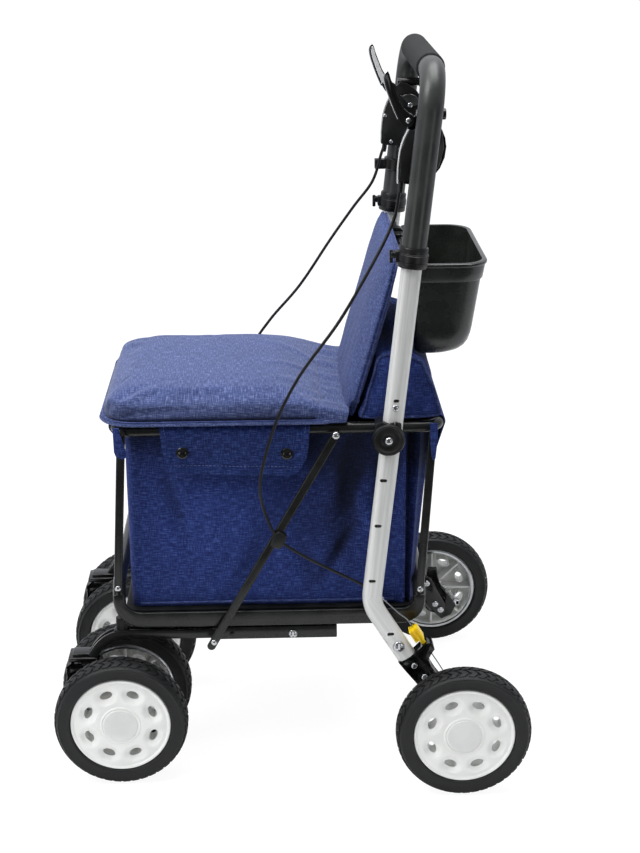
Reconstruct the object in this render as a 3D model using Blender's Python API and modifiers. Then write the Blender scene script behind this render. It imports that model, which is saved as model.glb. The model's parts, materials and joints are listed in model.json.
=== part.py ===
"""Shopping rollator, in metres, +Z up, +X the user's left, -Y the front, floor at Z = 0."""

import math

import bmesh
import bpy
from mathutils import Matrix, Vector

# General fits
fit_gap = 0.0003
slide_gap = 0.0005

# Half the distance between the seat ring's side rails, which the frame's width follows
frame_half = 0.1425

# Wheels
wheel_radius = 0.090
wheelbase = 0.457
rear_wheel_outset = 0.0555
rear_wheel_width = 0.036
front_wheel_width = 0.038
rim_radius = 0.0672
rim_wall = 0.0065
hub_radius = 0.0120
axle_radius = 0.0045
web_thickness = 0.0040
web_offset = 0.0095
hole_count = 8
hole_circle = 0.0455
hole_long = 0.0095
hole_short = 0.0062
wheel_steps = 20

# Casters
caster_inset = 0.012
twin_offset = 0.051
swivel_y = -0.285
swivel_pin_radius = 0.0050
fork_width = 0.036
fork_top = 0.1580
fork_boss_radius = 0.0100

# Leg tubes
leg_outset = 0.031
leg_long = 0.026
leg_wide = 0.022
leg_foot = (0.1560, 0.1745)
leg_knee = (0.1083, 0.2515)
leg_slope = 0.1065
leg_overlap = 0.0605
leg_bend_radius = 0.050

# Handle
handle_radius = 0.0157
handle_bore = 0.0136
handle_bottom_z = 0.7095
handle_height = 0.2335
handle_bend_radius = 0.045
handle_travel = 0.080
bore_spare = 0.050
grip_radius = 0.0180
grip_half = 0.118
collar_radius = 0.0195
collar_height = 0.025
clamp_rise = 0.0125
clip_rise = 0.066
clip_height = 0.016
housing_inset = 0.0335
lever_thickness = 0.0080
lever_drop = 0.058
lever_reach = 0.0235
lever_rise = 0.057
lever_lean = 0.0259
brake_pivot_behind = 0.0151
brake_pivot_z = 0.0670

# Folding frame
ring_radius = 0.0080
ring_z = 0.4885
ring_front_y = -0.2215
ring_rear_y = 0.1975
ring_corner = 0.020
fold_pivot_y = 0.129
fold_drop = 0.0015
tray_inset = 0.0005
tray_radius = 0.0085
tray_z = 0.2213
tray_pivot = (0.1153, 0.2699)
front_post_foot = (-0.2271, 0.2714)
rear_post_foot = (0.1749, 0.2625)
tray_bend_radius = 0.024
cross_bend_radius = 0.018
rear_bend_radius = 0.018
post_width = 0.0125
post_thickness = 0.0040
strut_width = 0.0120
strut_thickness = 0.0040
strut_top_y = 0.0632
strut_drop = 0.0047
strut_foot = (-0.1019, 0.1916)
pin_radius = 0.0045
bush_radius = 0.0085

# Carrier bars under the tray
bar_width = 0.016
bar_bottom_z = 0.187
bar_top_z = 0.205
bar_rear_y = 0.0642
bar_front_y = -0.1036
strip_bottom_z = 0.1889
strip_top_z = 0.1949
spacer_radius = 0.0085
spacer_y = -0.226
spacer_top_z = 0.2155

# Seat, backrest, bag and basket
board_overhang = 0.0075
board_front_y = -0.232
board_thickness = 0.0040
lid_rear_y = 0.0575
cushion_overhang = 0.008
cushion_front_y = -0.2416
cushion_height = 0.0300
cushion_crown = 0.0120
back_overhang = 0.010
back_thickness = 0.0140
back_bottom_y = 0.0748
back_bottom_rise = 0.0105
back_lean = math.radians(15.66)
back_length = 0.2335
back_corner = 0.042
back_hinge_y = 0.158
back_hinge_rise = 0.2065
hanger_radius = 0.0050
hanger_outset = 0.0045
hanger_foot_drop = 0.095
hanger_foot_y = 0.1535
bag_gap = 0.0004
bag_front_y = -0.2065
bag_foot_y = 0.1650
bag_rear_y = 0.1825
bag_top_drop = 0.0005
bag_wall = 0.0020
flap_inset = 0.0015
flap_thickness = 0.0030
floor_thickness = 0.0040
basket_inset = 0.0305
basket_front_y = 0.1685
basket_rear_y = 0.2577
basket_rise = 0.010
basket_depth = 0.1334
basket_wall = 0.0025
basket_draft = 0.018
basket_front_draft = 0.0215
hook_low = 0.030
hook_high = 0.048
hook_front_y = 0.1495

# Brake cables
cable_radius = 0.0019
near_cable = [
    (0.1500, 0.1447, 0.8063),
    (0.1510, 0.1420, 0.7930),
    (0.1560, 0.1350, 0.7620),
    (0.1630, 0.1121, 0.7153),
    (0.1660, 0.0685, 0.6391),
    (0.1665, 0.0177, 0.5678),
    (0.1665, -0.0124, 0.5081),
    (0.1660, -0.0310, 0.4480),
    (0.1655, -0.0359, 0.4125),
    (0.1624, -0.0300, 0.3790),
    (0.1621, -0.0160, 0.3460),
    (0.1621, 0.0040, 0.3270),
    (0.1600, 0.0412, 0.3034),
    (0.1570, 0.0967, 0.2719),
    (0.1590, 0.1221, 0.2538),
    (0.1690, 0.1450, 0.2350),
    (0.1720, 0.1569, 0.2262),
    (0.1730, 0.1633, 0.2159),
]
far_cable = [
    (0.1500, 0.1447, 0.8063),
    (0.1510, 0.1400, 0.7930),
    (0.1560, 0.1280, 0.7532),
    (0.1630, 0.1010, 0.7150),
    (0.1660, 0.0678, 0.6671),
    (0.1665, 0.0239, 0.6012),
    (0.1665, -0.0205, 0.5493),
    (0.1665, -0.0480, 0.5060),
    (0.1660, -0.0590, 0.4500),
    (0.1655, -0.0560, 0.4000),
    (0.1621, -0.0360, 0.3600),
    (0.1621, 0.0000, 0.3300),
    (0.1600, 0.0412, 0.3034),
    (0.1570, 0.0967, 0.2719),
    (0.1590, 0.1221, 0.2538),
    (0.1690, 0.1450, 0.2350),
    (0.1720, 0.1569, 0.2262),
    (0.1730, 0.1633, 0.2159),
]

front_axle_y = -wheelbase / 2
rear_axle_y = wheelbase / 2
brake_pivot = (rear_axle_y + brake_pivot_behind, brake_pivot_z)
tray_half = frame_half - tray_inset
caster_x = tray_half - caster_inset
leg_x = frame_half + leg_outset
rear_wheel_x = leg_x + rear_wheel_outset
board_half = frame_half + board_overhang
cushion_half = board_half + cushion_overhang
pouch_half = board_half
back_half = frame_half + back_overhang
hanger_x = frame_half + hanger_outset
bag_half = tray_half - tray_radius - bag_gap
basket_half = frame_half - basket_inset
brake_inner_x = leg_x - housing_inset
post_x = max(tray_half + tray_radius, frame_half + ring_radius) + slide_gap
strut_x = post_x + post_thickness + 0.0008
leg_inner_x = leg_x - leg_wide / 2
leg_direction = Vector((0.0, leg_slope, 1.0)).normalized()
foot_direction = Vector(
    (0.0, leg_foot[0] - leg_knee[0], leg_foot[1] - leg_knee[1])
).normalized()
leg_top_z = handle_bottom_z + leg_overlap
bore_top_z = leg_top_z + handle_travel + bore_spare
handle_bar_z = handle_bottom_z + handle_height
collar_bottom_z = handle_bottom_z - slide_gap
collar_top_z = collar_bottom_z + collar_height
clip_z = collar_bottom_z + clip_rise
lever_z = handle_bar_z - lever_drop
lever_pivot = (leg_knee[0] + (lever_z - leg_knee[1]) * leg_slope - lever_reach, lever_z)
lever_tip = (lever_pivot[0] - lever_lean, lever_z + lever_rise)
fold_pivot = (fold_pivot_y, ring_z - fold_drop)
strut_top = (strut_top_y, ring_z - strut_drop)
bag_top_z = ring_z - bag_top_drop
back_bottom = (back_bottom_y, ring_z + back_bottom_rise)
back_hinge = (back_hinge_y, ring_z + back_hinge_rise)
hanger_foot_z = back_hinge[1] - hanger_foot_drop
basket_top_z = back_hinge[1] + basket_rise
basket_bottom_z = basket_top_z - basket_depth
board_bottom_z = ring_z + ring_radius + slide_gap
cushion_bottom_z = board_bottom_z + board_thickness + fit_gap
tray_floor_z = tray_z + tray_radius + fit_gap

colors = {
    "silver_tube": ((0.74, 0.74, 0.73, 1.0), 0.85, 0.38),
    "black_steel": ((0.020, 0.020, 0.021, 1.0), 0.30, 0.38),
    "black_plastic": ((0.018, 0.018, 0.019, 1.0), 0.0, 0.45),
    "foam": ((0.022, 0.022, 0.024, 1.0), 0.0, 0.90),
    "white_plastic": ((0.80, 0.80, 0.78, 1.0), 0.0, 0.40),
    "tyre_rubber": ((0.022, 0.022, 0.023, 1.0), 0.0, 0.80),
    "blue_fabric": ((0.016, 0.040, 0.155, 1.0), 0.0, 0.90),
    "yellow_plastic": ((0.80, 0.62, 0.02, 1.0), 0.0, 0.45),
    "zinc": ((0.62, 0.62, 0.60, 1.0), 0.90, 0.35),
}


def make_material(name):
    color, metallic, roughness = colors[name]
    material = bpy.data.materials.get(name)
    if material is None:
        material = bpy.data.materials.new(name)
        material.use_nodes = True
        shader = material.node_tree.nodes["Principled BSDF"]
        shader.inputs["Base Color"].default_value = color
        shader.inputs["Metallic"].default_value = metallic
        shader.inputs["Roughness"].default_value = roughness
        material.diffuse_color = color
    return material


def new_collection(name):
    collection = bpy.data.collections.new(name)
    bpy.context.scene.collection.children.link(collection)
    return collection


def finish(obj, material):
    """Puts a finished piece in the rollator's collection with its material."""
    parts.objects.link(obj)
    if obj.type == "MESH":
        obj.data.materials.clear()
    obj.data.materials.append(make_material(material))
    return obj


def hide(obj):
    """Keeps a cutter or a joined shape out of the model."""
    cutters.objects.link(obj)
    obj.hide_render = True
    obj.display_type = "WIRE"
    return obj


def mesh_object(name, bm, location=(0, 0, 0)):
    bmesh.ops.recalc_face_normals(bm, faces=bm.faces)
    mesh = bpy.data.meshes.new(name)
    bm.to_mesh(mesh)
    bm.free()
    obj = bpy.data.objects.new(name, mesh)
    obj.location = location
    return obj


def box(name, low, high):
    """A box between two corners, with its origin at its middle."""
    low, high = Vector(low), Vector(high)
    bm = bmesh.new()
    bmesh.ops.create_cube(bm, size=1.0)
    bmesh.ops.scale(bm, vec=high - low, verts=bm.verts)
    return mesh_object(name, bm, (low + high) / 2)


def rod(name, start, end, radius, segments=12, end_radius=None):
    """A cylinder or cone between two points."""
    start, end = Vector(start), Vector(end)
    bm = bmesh.new()
    bmesh.ops.create_cone(
        bm,
        cap_ends=True,
        segments=segments,
        radius1=radius,
        radius2=radius if end_radius is None else end_radius,
        depth=(end - start).length,
    )
    turn = (end - start).to_track_quat("Z", "Y").to_matrix().to_4x4()
    bmesh.ops.transform(bm, matrix=turn, verts=bm.verts)
    return mesh_object(name, bm, (start + end) / 2)


def plate(name, outline, low_x, high_x, pivot=(0.0, 0.0), holes=()):
    """A flat outline of (Y, Z) points with thickness along X, its origin on the pivot."""
    curve = bpy.data.curves.new(name, "CURVE")
    curve.dimensions = "2D"
    curve.fill_mode = "BOTH"
    curve.extrude = (high_x - low_x) / 2
    for loop in [outline, *holes]:
        spline = curve.splines.new("POLY")
        spline.points.add(len(loop) - 1)
        for point, (y, z) in zip(spline.points, loop):
            point.co = (y - pivot[0], z - pivot[1], 0.0, 1.0)
        spline.use_cyclic_u = True
    obj = bpy.data.objects.new(name, curve)
    obj.location = ((low_x + high_x) / 2, pivot[0], pivot[1])
    obj.rotation_euler = (math.pi / 2, 0.0, math.pi / 2)
    return obj


def tube(name, points, radius, sides=2, cyclic=False, origin=(0, 0, 0), squeeze=1.0):
    """A round bar along points; squeeze narrows it along X about its origin."""
    curve = bpy.data.curves.new(name, "CURVE")
    curve.dimensions = "3D"
    curve.bevel_depth = radius
    curve.bevel_resolution = sides
    curve.use_fill_caps = not cyclic
    spline = curve.splines.new("POLY")
    spline.points.add(len(points) - 1)
    for point, place in zip(spline.points, points):
        point.co = (*(Vector(place) - Vector(origin)), 1.0)
    spline.use_cyclic_u = cyclic
    obj = bpy.data.objects.new(name, curve)
    obj.location = origin
    obj.scale = (squeeze, 1.0, 1.0)
    return obj


def bore(radius, segments):
    """Radius of a faceted bore whose flats clear a round bar by the fit gap."""
    return (radius + fit_gap) / math.cos(math.pi / segments)


def as_mesh(obj):
    """The same piece as a welded mesh, so that it can be cut or joined."""
    scratch = bpy.context.scene.collection
    scratch.objects.link(obj)
    bpy.context.view_layer.update()
    evaluated = obj.evaluated_get(bpy.context.evaluated_depsgraph_get())
    mesh = bpy.data.meshes.new_from_object(evaluated)
    bm = bmesh.new()
    bm.from_mesh(mesh)
    bmesh.ops.remove_doubles(bm, verts=bm.verts, dist=0.00001)
    bmesh.ops.recalc_face_normals(bm, faces=bm.faces)
    bm.to_mesh(mesh)
    bm.free()
    solid = bpy.data.objects.new(obj.name + "_solid", mesh)
    solid.matrix_world = obj.matrix_world
    name = obj.name
    scratch.objects.unlink(obj)
    bpy.data.objects.remove(obj)
    solid.name = name
    return solid


def combine(obj, others, operation):
    for other in others:
        operand = as_mesh(other) if other.type == "CURVE" else other
        hide(operand)
        modifier = obj.modifiers.new(operand.name, "BOOLEAN")
        modifier.operation = operation
        modifier.solver = "EXACT"
        modifier.object = operand
    return obj


def joined(obj, *others):
    return combine(obj, others, "UNION")


def cut(obj, *others):
    return combine(obj, others, "DIFFERENCE")


def turned(name, profile, center, side=1.0, steps=wheel_steps):
    """A closed (radius, offset) profile turned about X, with a flat at the bottom.

    The radii are those of the flats, and side mirrors the offsets."""
    mesh = bpy.data.meshes.new(name)
    bm = bmesh.new()
    slope = math.tan(math.pi / steps)
    verts = [bm.verts.new((radius, radius * slope, offset)) for radius, offset in profile]
    for start, end in zip(verts, verts[1:] + verts[:1]):
        bm.edges.new((start, end))
    bm.to_mesh(mesh)
    bm.free()
    obj = bpy.data.objects.new(name, mesh)
    screw = obj.modifiers.new("turn", "SCREW")
    screw.steps = steps
    screw.render_steps = steps
    screw.use_merge_vertices = True
    screw.merge_threshold = 0.00001
    obj.location = center
    obj.rotation_euler = (0.0, math.pi / 2 * side, 0.0)
    return obj


def rounded(points, radius, steps=4, cyclic=False):
    """Points along a path with arcs at its corners; radius is one value or one a corner."""
    points = [Vector(p) for p in points]
    path = []
    count = len(points)
    radii = radius if isinstance(radius, list) else [radius] * count
    for i, corner in enumerate(points):
        if not cyclic and i in (0, count - 1):
            path.append(corner)
            continue
        before = (points[i - 1] - corner).normalized()
        after = (points[(i + 1) % count] - corner).normalized()
        half = before.angle(after) / 2
        reach = radii[i] / math.tan(half)
        middle = corner + (before + after).normalized() * (radii[i] / math.sin(half))
        start = corner + before * reach - middle
        end = corner + after * reach - middle
        sweep = start.angle(end)
        for k in range(steps + 1):
            share = k / steps
            arm = (
                start * math.sin((1 - share) * sweep) + end * math.sin(share * sweep)
            ) / math.sin(sweep)
            path.append(middle + arm)
    return path


def smooth(points, steps):
    """Catmull-Rom points through a list of places."""
    points = [Vector(p) for p in points]
    padded = [2 * points[0] - points[1], *points, 2 * points[-1] - points[-2]]
    path = []
    for a, b, c, d in zip(padded, padded[1:], padded[2:], padded[3:]):
        for k in range(steps):
            t = k / steps
            path.append(
                0.5
                * (
                    2 * b
                    + (c - a) * t
                    + (2 * a - 5 * b + 4 * c - d) * t * t
                    + (3 * b - a - 3 * c + d) * t * t * t
                )
            )
    path.append(points[-1])
    return path


def arc(center, radius, start, end, steps):
    """(Y, Z) points on an arc, angles in degrees from +Y towards +Z."""
    return [
        (
            center[0] + radius * math.cos(math.radians(start + (end - start) * k / steps)),
            center[1] + radius * math.sin(math.radians(start + (end - start) * k / steps)),
        )
        for k in range(steps + 1)
    ]


def strap(start, end, width, steps=4):
    """Outline of a flat bar with round ends between two (Y, Z) points."""
    angle = math.degrees(math.atan2(end[1] - start[1], end[0] - start[0]))
    return arc(end, width / 2, angle - 90, angle + 90, steps) + arc(
        start, width / 2, angle + 90, angle + 270, steps
    )


def leg_y(z):
    return leg_knee[0] + (z - leg_knee[1]) * leg_slope


def sided(points, side):
    return [(x * side, y, z) for x, y, z in points]


def span(side, low, high):
    """Low and high X of a slab on one side of the middle."""
    return (low, high) if side > 0 else (-high, -low)


def wheel(name, center, side, width):
    """A tyre and its hub; side is the way that the outer cover faces."""
    half = width / 2
    tyre_profile = [
        (wheel_radius - 0.0040, half * 0.80),
        (wheel_radius, half * 0.45),
        (wheel_radius, -half * 0.45),
        (wheel_radius - 0.0040, -half * 0.80),
        (wheel_radius - 0.0110, -half),
        (rim_radius + fit_gap, -half * 0.86),
        (rim_radius + fit_gap, half * 0.86),
        (wheel_radius - 0.0110, half),
    ]
    finish(turned("tyre_" + name, tyre_profile, center, side), "tyre_rubber")
    bore_radius = axle_radius + fit_gap
    rim_low = -half * 0.82
    rim_high = half * 0.82
    rim_inner = rim_radius - rim_wall
    hub_profile = [
        (rim_radius, rim_high),
        (rim_radius, rim_low),
        (rim_inner, rim_low),
        (rim_inner, web_offset),
        (hub_radius, web_offset),
        (hub_radius, -half),
        (bore_radius, -half),
        (bore_radius, web_offset + web_thickness),
        (rim_inner, web_offset + web_thickness),
    ]
    hub = turned("hub_" + name, hub_profile, center, side)
    cutter = bmesh.new()
    for k in range(hole_count):
        angle = 2 * math.pi * (k + 0.5) / hole_count
        place = Matrix.Rotation(angle, 4, "X") @ Matrix.Translation((0, hole_circle, 0))
        shape = Matrix.Diagonal((1.0, hole_short, hole_long, 1.0))
        turn = Matrix.Rotation(math.pi / 2, 4, "Y")
        bmesh.ops.create_cone(
            cutter,
            cap_ends=True,
            segments=6,
            radius1=1.0,
            radius2=1.0,
            depth=web_thickness * 4,
            matrix=place @ shape @ turn,
        )
    middle = side * (web_offset + web_thickness / 2)
    holes = mesh_object("holes_" + name, cutter, Vector(center) + Vector((middle, 0, 0)))
    finish(cut(hub, holes), "white_plastic")


def make_wheels():
    for label, side in (("left", 1.0), ("right", -1.0)):
        wheel(
            "rear_" + label,
            (side * rear_wheel_x, rear_axle_y, wheel_radius),
            side,
            rear_wheel_width,
        )
        for place, offset in (("outer", twin_offset), ("inner", -twin_offset)):
            wheel(
                f"front_{label}_{place}",
                (side * (caster_x + offset), front_axle_y, wheel_radius),
                side * math.copysign(1.0, offset),
                front_wheel_width,
            )


def make_fork(label, side):
    """Trailing fork between the twin wheels, with its head round the swivel pin."""
    axle = (front_axle_y, wheel_radius)
    outline = [
        (-0.3030, 0.1290),
        (-0.2880, 0.1250),
        *arc(axle, 0.0165, 215, 400, 8),
        (-0.2570, 0.1470),
        (-0.2590, fork_top),
        (-0.2970, fork_top),
        (-0.3030, 0.1520),
    ]
    center = side * caster_x
    fork = as_mesh(
        plate(
            "caster_fork_" + label,
            outline,
            center - fork_width / 2,
            center + fork_width / 2,
            (swivel_y, fork_top),
        )
    )
    inner_face = twin_offset - front_wheel_width / 2
    boss = rod(
        "fork_boss_" + label,
        (center - inner_face + fit_gap, *axle),
        (center + inner_face - fit_gap, *axle),
        fork_boss_radius,
    )
    reach = twin_offset + front_wheel_width / 2 - 0.002
    pin = rod(
        "fork_axle_" + label,
        (center - reach, *axle),
        (center + reach, *axle),
        axle_radius,
        8,
    )
    socket = rod(
        "fork_bore_" + label,
        (center, swivel_y, 0.1365),
        (center, swivel_y, fork_top + 0.01),
        swivel_pin_radius + fit_gap,
    )
    joined(fork, boss, pin)
    finish(cut(fork, socket), "black_plastic")


def make_carrier(label, side):
    """Bar under the tray whose front strip curves down to the caster's swivel pin."""
    outline = [
        (bar_rear_y, bar_bottom_z),
        (bar_rear_y, bar_top_z),
        (bar_front_y, bar_top_z),
        (bar_front_y, strip_top_z),
        (-0.1650, strip_top_z),
        (-0.1750, 0.2028),
        (-0.2325, 0.2028),
        (-0.2460, 0.1950),
        (-0.2578, 0.1840),
        (-0.2670, 0.1740),
        (-0.2738, 0.1650),
        (-0.2960, 0.1650),
        (-0.2960, fork_top + slide_gap),
        (-0.2600, fork_top + slide_gap),
        (-0.2528, 0.1760),
        (-0.2445, 0.1850),
        (-0.2330, strip_bottom_z),
        (bar_front_y, strip_bottom_z),
        (bar_front_y, bar_bottom_z),
    ]
    center = side * (caster_x + 0.004)
    carrier = as_mesh(
        plate(
            "carrier_bar_" + label,
            outline,
            center - bar_width / 2,
            center + bar_width / 2,
        )
    )
    web = box(
        "carrier_web_" + label,
        (center - 0.004, -0.0980, bar_top_z - 0.002),
        (center + 0.004, 0.0600, tray_z - tray_radius - fit_gap),
    )
    pin = rod(
        "swivel_pin_" + label,
        (side * caster_x, swivel_y, 0.1380),
        (side * caster_x, swivel_y, 0.1620),
        swivel_pin_radius,
    )
    spacer = rod(
        "spacer_" + label,
        (center, spacer_y, 0.2000),
        (center, spacer_y, spacer_top_z),
        spacer_radius,
    )
    edge = center + side * (bar_width / 2 - 0.002)
    hook = rod(
        "hook_pin_" + label,
        (edge, *strut_foot),
        (side * (strut_x - slide_gap), *strut_foot),
        pin_radius,
        8,
    )
    finish(joined(carrier, web, pin, spacer, hook), "black_steel")


def make_leg(label, side):
    top_y = leg_y(leg_top_z)
    path = rounded(
        [
            (0.0, leg_foot[0], leg_foot[1]),
            (0.0, leg_knee[0], leg_knee[1]),
            (0.0, top_y, leg_top_z),
        ],
        leg_bend_radius,
    )
    obj = tube(
        "leg_tube_" + label, path, leg_long / 2, 3, squeeze=leg_wide / leg_long
    )
    obj.location = (side * leg_x, 0.0, 0.0)
    finish(obj, "silver_tube")


def make_rear_bracket(label, side):
    """Foot casting between the leg tube and the rear wheel, with its stub axle."""
    across = Vector((0.0, -foot_direction.z, foot_direction.y))
    end = Vector((0.0, *leg_foot)) + foot_direction * fit_gap
    left = end - across * 0.0130
    right = end + across * 0.0115
    axle = (rear_axle_y, wheel_radius)
    outline = [
        (left.y, left.z),
        (0.1744, 0.1305),
        *arc(axle, 0.0165, 215, 380, 7),
        (0.2180, 0.1260),
        (0.1957, 0.1510),
        (0.1847, 0.1700),
        (0.1924, 0.1870),
        (0.1896, 0.1975),
        (0.1763, 0.1920),
        (right.y, right.z),
    ]
    low, high = span(side, leg_x - 0.0090, leg_x + 0.0100)
    bracket = as_mesh(plate("rear_bracket_" + label, outline, low, high))
    face = rear_wheel_x - rear_wheel_width / 2 - fit_gap
    boss = rod(
        "rear_boss_" + label,
        (side * leg_x, *axle),
        (side * face, *axle),
        fork_boss_radius,
    )
    axle_end = rear_wheel_x + rear_wheel_width / 2 - 0.002
    stub = rod(
        "rear_axle_" + label, (side * leg_x, *axle), (side * axle_end, *axle), axle_radius, 8
    )
    # Brake backing plate beside the wheel.
    behind_axle = [
        (-0.0155, 0.0900),
        (0.0122, 0.0530),
        (0.0355, 0.0760),
        (0.0115, 0.1080),
        (0.0045, 0.1400),
        (-0.0105, 0.1400),
    ]
    backing = plate(
        "backing_" + label,
        [(rear_axle_y + y, z) for y, z in behind_axle],
        *span(side, leg_x + 0.0085, leg_x + 0.0180),
    )
    finish(joined(bracket, boss, stub, backing), "black_plastic")


def make_brake_arm(label, side):
    """Small arm on the backing plate that the cable pulls."""
    low, high = span(side, leg_x + 0.0183, leg_x + 0.0245)
    outline = [
        *arc(brake_pivot, 0.0065, 150, 300, 5),
        (rear_axle_y + 0.0415, 0.0740),
        (rear_axle_y + 0.0402, 0.0810),
        (rear_axle_y + 0.0315, 0.0815),
    ]
    finish(plate("brake_arm_" + label, outline, low, high, brake_pivot), "zinc")


def coil_gap(points, curl_points, radius):
    """Least space between turns of a coil, in metres."""
    least = 1.0
    for i, point in enumerate(points):
        for other in points[i + curl_points // 2 + 1 :]:
            least = min(least, (point - other).length)
    return least - 2 * radius


def make_spring(label, side):
    """Return spring of the brake, along the cable's last stretch."""
    curls = 6
    curl_points = 8
    wire = 0.0006
    coil = 0.0036
    start = Vector((0.0, rear_axle_y + 0.0025, 0.1150))
    end = Vector((0.0, rear_axle_y + 0.0315, 0.0862))
    axis = (end - start).normalized()
    sideways = Vector((1.0, 0.0, 0.0))
    upward = axis.cross(sideways)
    x = side * (leg_x + 0.0225)
    points = []
    for k in range(curls * curl_points + 1):
        angle = 2 * math.pi * k / curl_points
        along = start + (end - start) * (k / (curls * curl_points))
        ring = sideways * (math.cos(angle) * coil) + upward * (math.sin(angle) * coil)
        points.append(along + ring + Vector((x, 0.0, 0.0)))
    print(f"brake_spring_{label}: least gap {coil_gap(points, curl_points, wire) * 1000:.2f} mm")
    finish(tube("brake_spring_" + label, points, wire, 1), "zinc")


def make_adjuster(label, side):
    """Yellow barrel where the cable's inner wire enters the foot casting."""
    center = Vector((0.0, 0.1688, 0.2070))
    turn = math.atan2(-foot_direction.y, -foot_direction.z)
    low, high = leg_x - 0.0070, leg_x + 0.0070
    half_wide = 0.0072
    half_long = 0.0100
    corners = [(-1, -1), (1, -1), (1, 1), (-1, 1)]
    outline = []
    for across, along in corners:
        y = across * half_wide * math.cos(turn) - along * half_long * math.sin(-turn)
        z = across * half_wide * math.sin(-turn) + along * half_long * math.cos(turn)
        outline.append((center.y + y, center.z + z))
    body = as_mesh(plate("cable_adjuster_" + label, outline, *span(side, low, high)))
    foot = rod(
        "adjuster_foot_" + label,
        (side * leg_x, 0.1720, 0.2030),
        (side * leg_x, 0.1786, 0.1942),
        0.0035,
        8,
    )
    finish(joined(body, foot), "yellow_plastic")


def make_pivot_knob(label, side):
    """Round knob on the outside of the leg at the fold pivot."""
    outer = leg_x + leg_wide / 2
    disc = rod(
        "pivot_knob_" + label,
        (side * (outer + fit_gap), *fold_pivot),
        (side * (outer + 0.0085), *fold_pivot),
        0.0210,
        20,
    )
    rivet = rod(
        "knob_rivet_" + label,
        (side * (outer + 0.0070), *fold_pivot),
        (side * (outer + 0.0105), *fold_pivot),
        0.0050,
        10,
    )
    finish(joined(disc, rivet), "black_plastic")


def along_leg(z, offset=0.0):
    """A point on the leg tube's straight axis, moved back by offset square to it."""
    return Vector((0.0, leg_y(z), z)) + Vector((0.0, leg_direction.z, -leg_direction.y)) * offset


def make_handle():
    left = Vector((leg_x, 0.0, 0.0))
    low = along_leg(handle_bottom_z)
    high = along_leg(handle_bar_z)
    path = rounded(
        [low + left, high + left, high - left, low - left], handle_bend_radius, 6
    )
    handle = as_mesh(tube("handle_tube", path, handle_radius, 3))
    for label, side in (("left", 1.0), ("right", -1.0)):
        hollow = rod(
            "handle_bore_" + label,
            along_leg(handle_bottom_z - 0.01) + left * side,
            along_leg(bore_top_z) + left * side,
            handle_bore,
            16,
        )
        cut(handle, hollow)
    finish(handle, "black_steel")
    bar = along_leg(handle_bar_z)
    grip = rod(
        "foam_grip",
        (-grip_half, bar.y, bar.z),
        (grip_half, bar.y, bar.z),
        grip_radius,
        20,
    )
    hollow = rod(
        "grip_bore",
        (-grip_half - 0.01, bar.y, bar.z),
        (grip_half + 0.01, bar.y, bar.z),
        bore(handle_radius, 16),
        16,
    )
    finish(cut(grip, hollow), "foam")


def make_collar(label, side):
    x = Vector((side * leg_x, 0.0, 0.0))
    collar = rod(
        "height_collar_" + label,
        along_leg(collar_bottom_z) + x,
        along_leg(collar_top_z) + x,
        collar_radius,
        20,
    )
    hollow = rod(
        "collar_bore_" + label,
        along_leg(collar_bottom_z - 0.01) + x,
        along_leg(collar_top_z + 0.01) + x,
        bore(handle_radius, 16),
        16,
    )
    finish(cut(collar, hollow), "black_plastic")
    clamp_z = collar_bottom_z + clamp_rise
    face = along_leg(clamp_z, -collar_radius - fit_gap) + x
    tip = along_leg(clamp_z, -collar_radius - 0.0120) + x
    knob = rod("clamp_knob_" + label, face, tip, 0.0065, 12)
    wing_low = along_leg(clamp_z - 0.0070, -collar_radius - 0.0080) + x
    wing = box(
        "clamp_wing_" + label,
        (wing_low.x - 0.0025, tip.y - 0.0030, wing_low.z - 0.0035),
        (wing_low.x + 0.0025, wing_low.y + 0.0005, wing_low.z + 0.0180),
    )
    finish(joined(knob, wing), "black_plastic")


def make_brake_grip(label, side):
    """Brake housing on the handle's post, and the lever that turns on it."""
    post_face = leg_x - handle_radius - fit_gap
    slot_x = post_face - lever_thickness
    low, high = span(side, brake_inner_x, slot_x - slide_gap)
    about_pivot = [
        (-0.0139, -0.0770),
        (0.0034, -0.0800),
        (0.0237, -0.0760),
        (0.0407, -0.0600),
        (0.0481, -0.0335),
        (0.0427, -0.0130),
        (0.0307, 0.0010),
        (0.0127, 0.0090),
        (0.0001, -0.0090),
        (-0.0106, -0.0365),
    ]
    outline = [(lever_pivot[0] + y, lever_pivot[1] + z) for y, z in about_pivot]
    housing = as_mesh(plate("brake_housing_" + label, outline, low, high))
    shoulder_z = lever_pivot[1] - 0.0095
    block_outline = [
        *outline[:5],
        (lever_pivot[0] + 0.0417, shoulder_z),
        (lever_pivot[0] - 0.0001, shoulder_z),
        outline[-1],
    ]
    block = plate(
        "brake_block_" + label,
        block_outline,
        *span(side, slot_x - 0.0020, post_face),
    )
    ear = plate("brake_ear_" + label, arc(lever_pivot, 0.0075, 0, 330, 11), low, high)
    pin = rod(
        "lever_pin_" + label,
        (side * (slot_x - 0.0030), *lever_pivot),
        (side * post_face, *lever_pivot),
        0.0025,
        8,
    )
    finish(joined(housing, block, ear, pin), "black_plastic")
    lever_low, lever_high = span(side, slot_x, post_face - slide_gap)
    direction = (lever_tip[0] - lever_pivot[0], lever_tip[1] - lever_pivot[1])
    angle = math.degrees(math.atan2(direction[1], direction[0]))
    blade = [
        *arc(lever_pivot, 0.0078, angle + 130, angle + 230, 4),
        (lever_tip[0] + 0.0040, lever_tip[1] - 0.0020),
        (lever_tip[0] + 0.0008, lever_tip[1]),
        (lever_tip[0] - 0.0020, lever_tip[1] - 0.0040),
        (lever_pivot[0] - 0.0160, lever_pivot[1] + 0.0180),
    ]
    eye = arc(lever_pivot, 0.0030, 22.5, 337.5, 7)
    lever = plate("brake_lever_" + label, blade, lever_low, lever_high, lever_pivot, [eye])
    finish(lever, "black_plastic")


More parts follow.
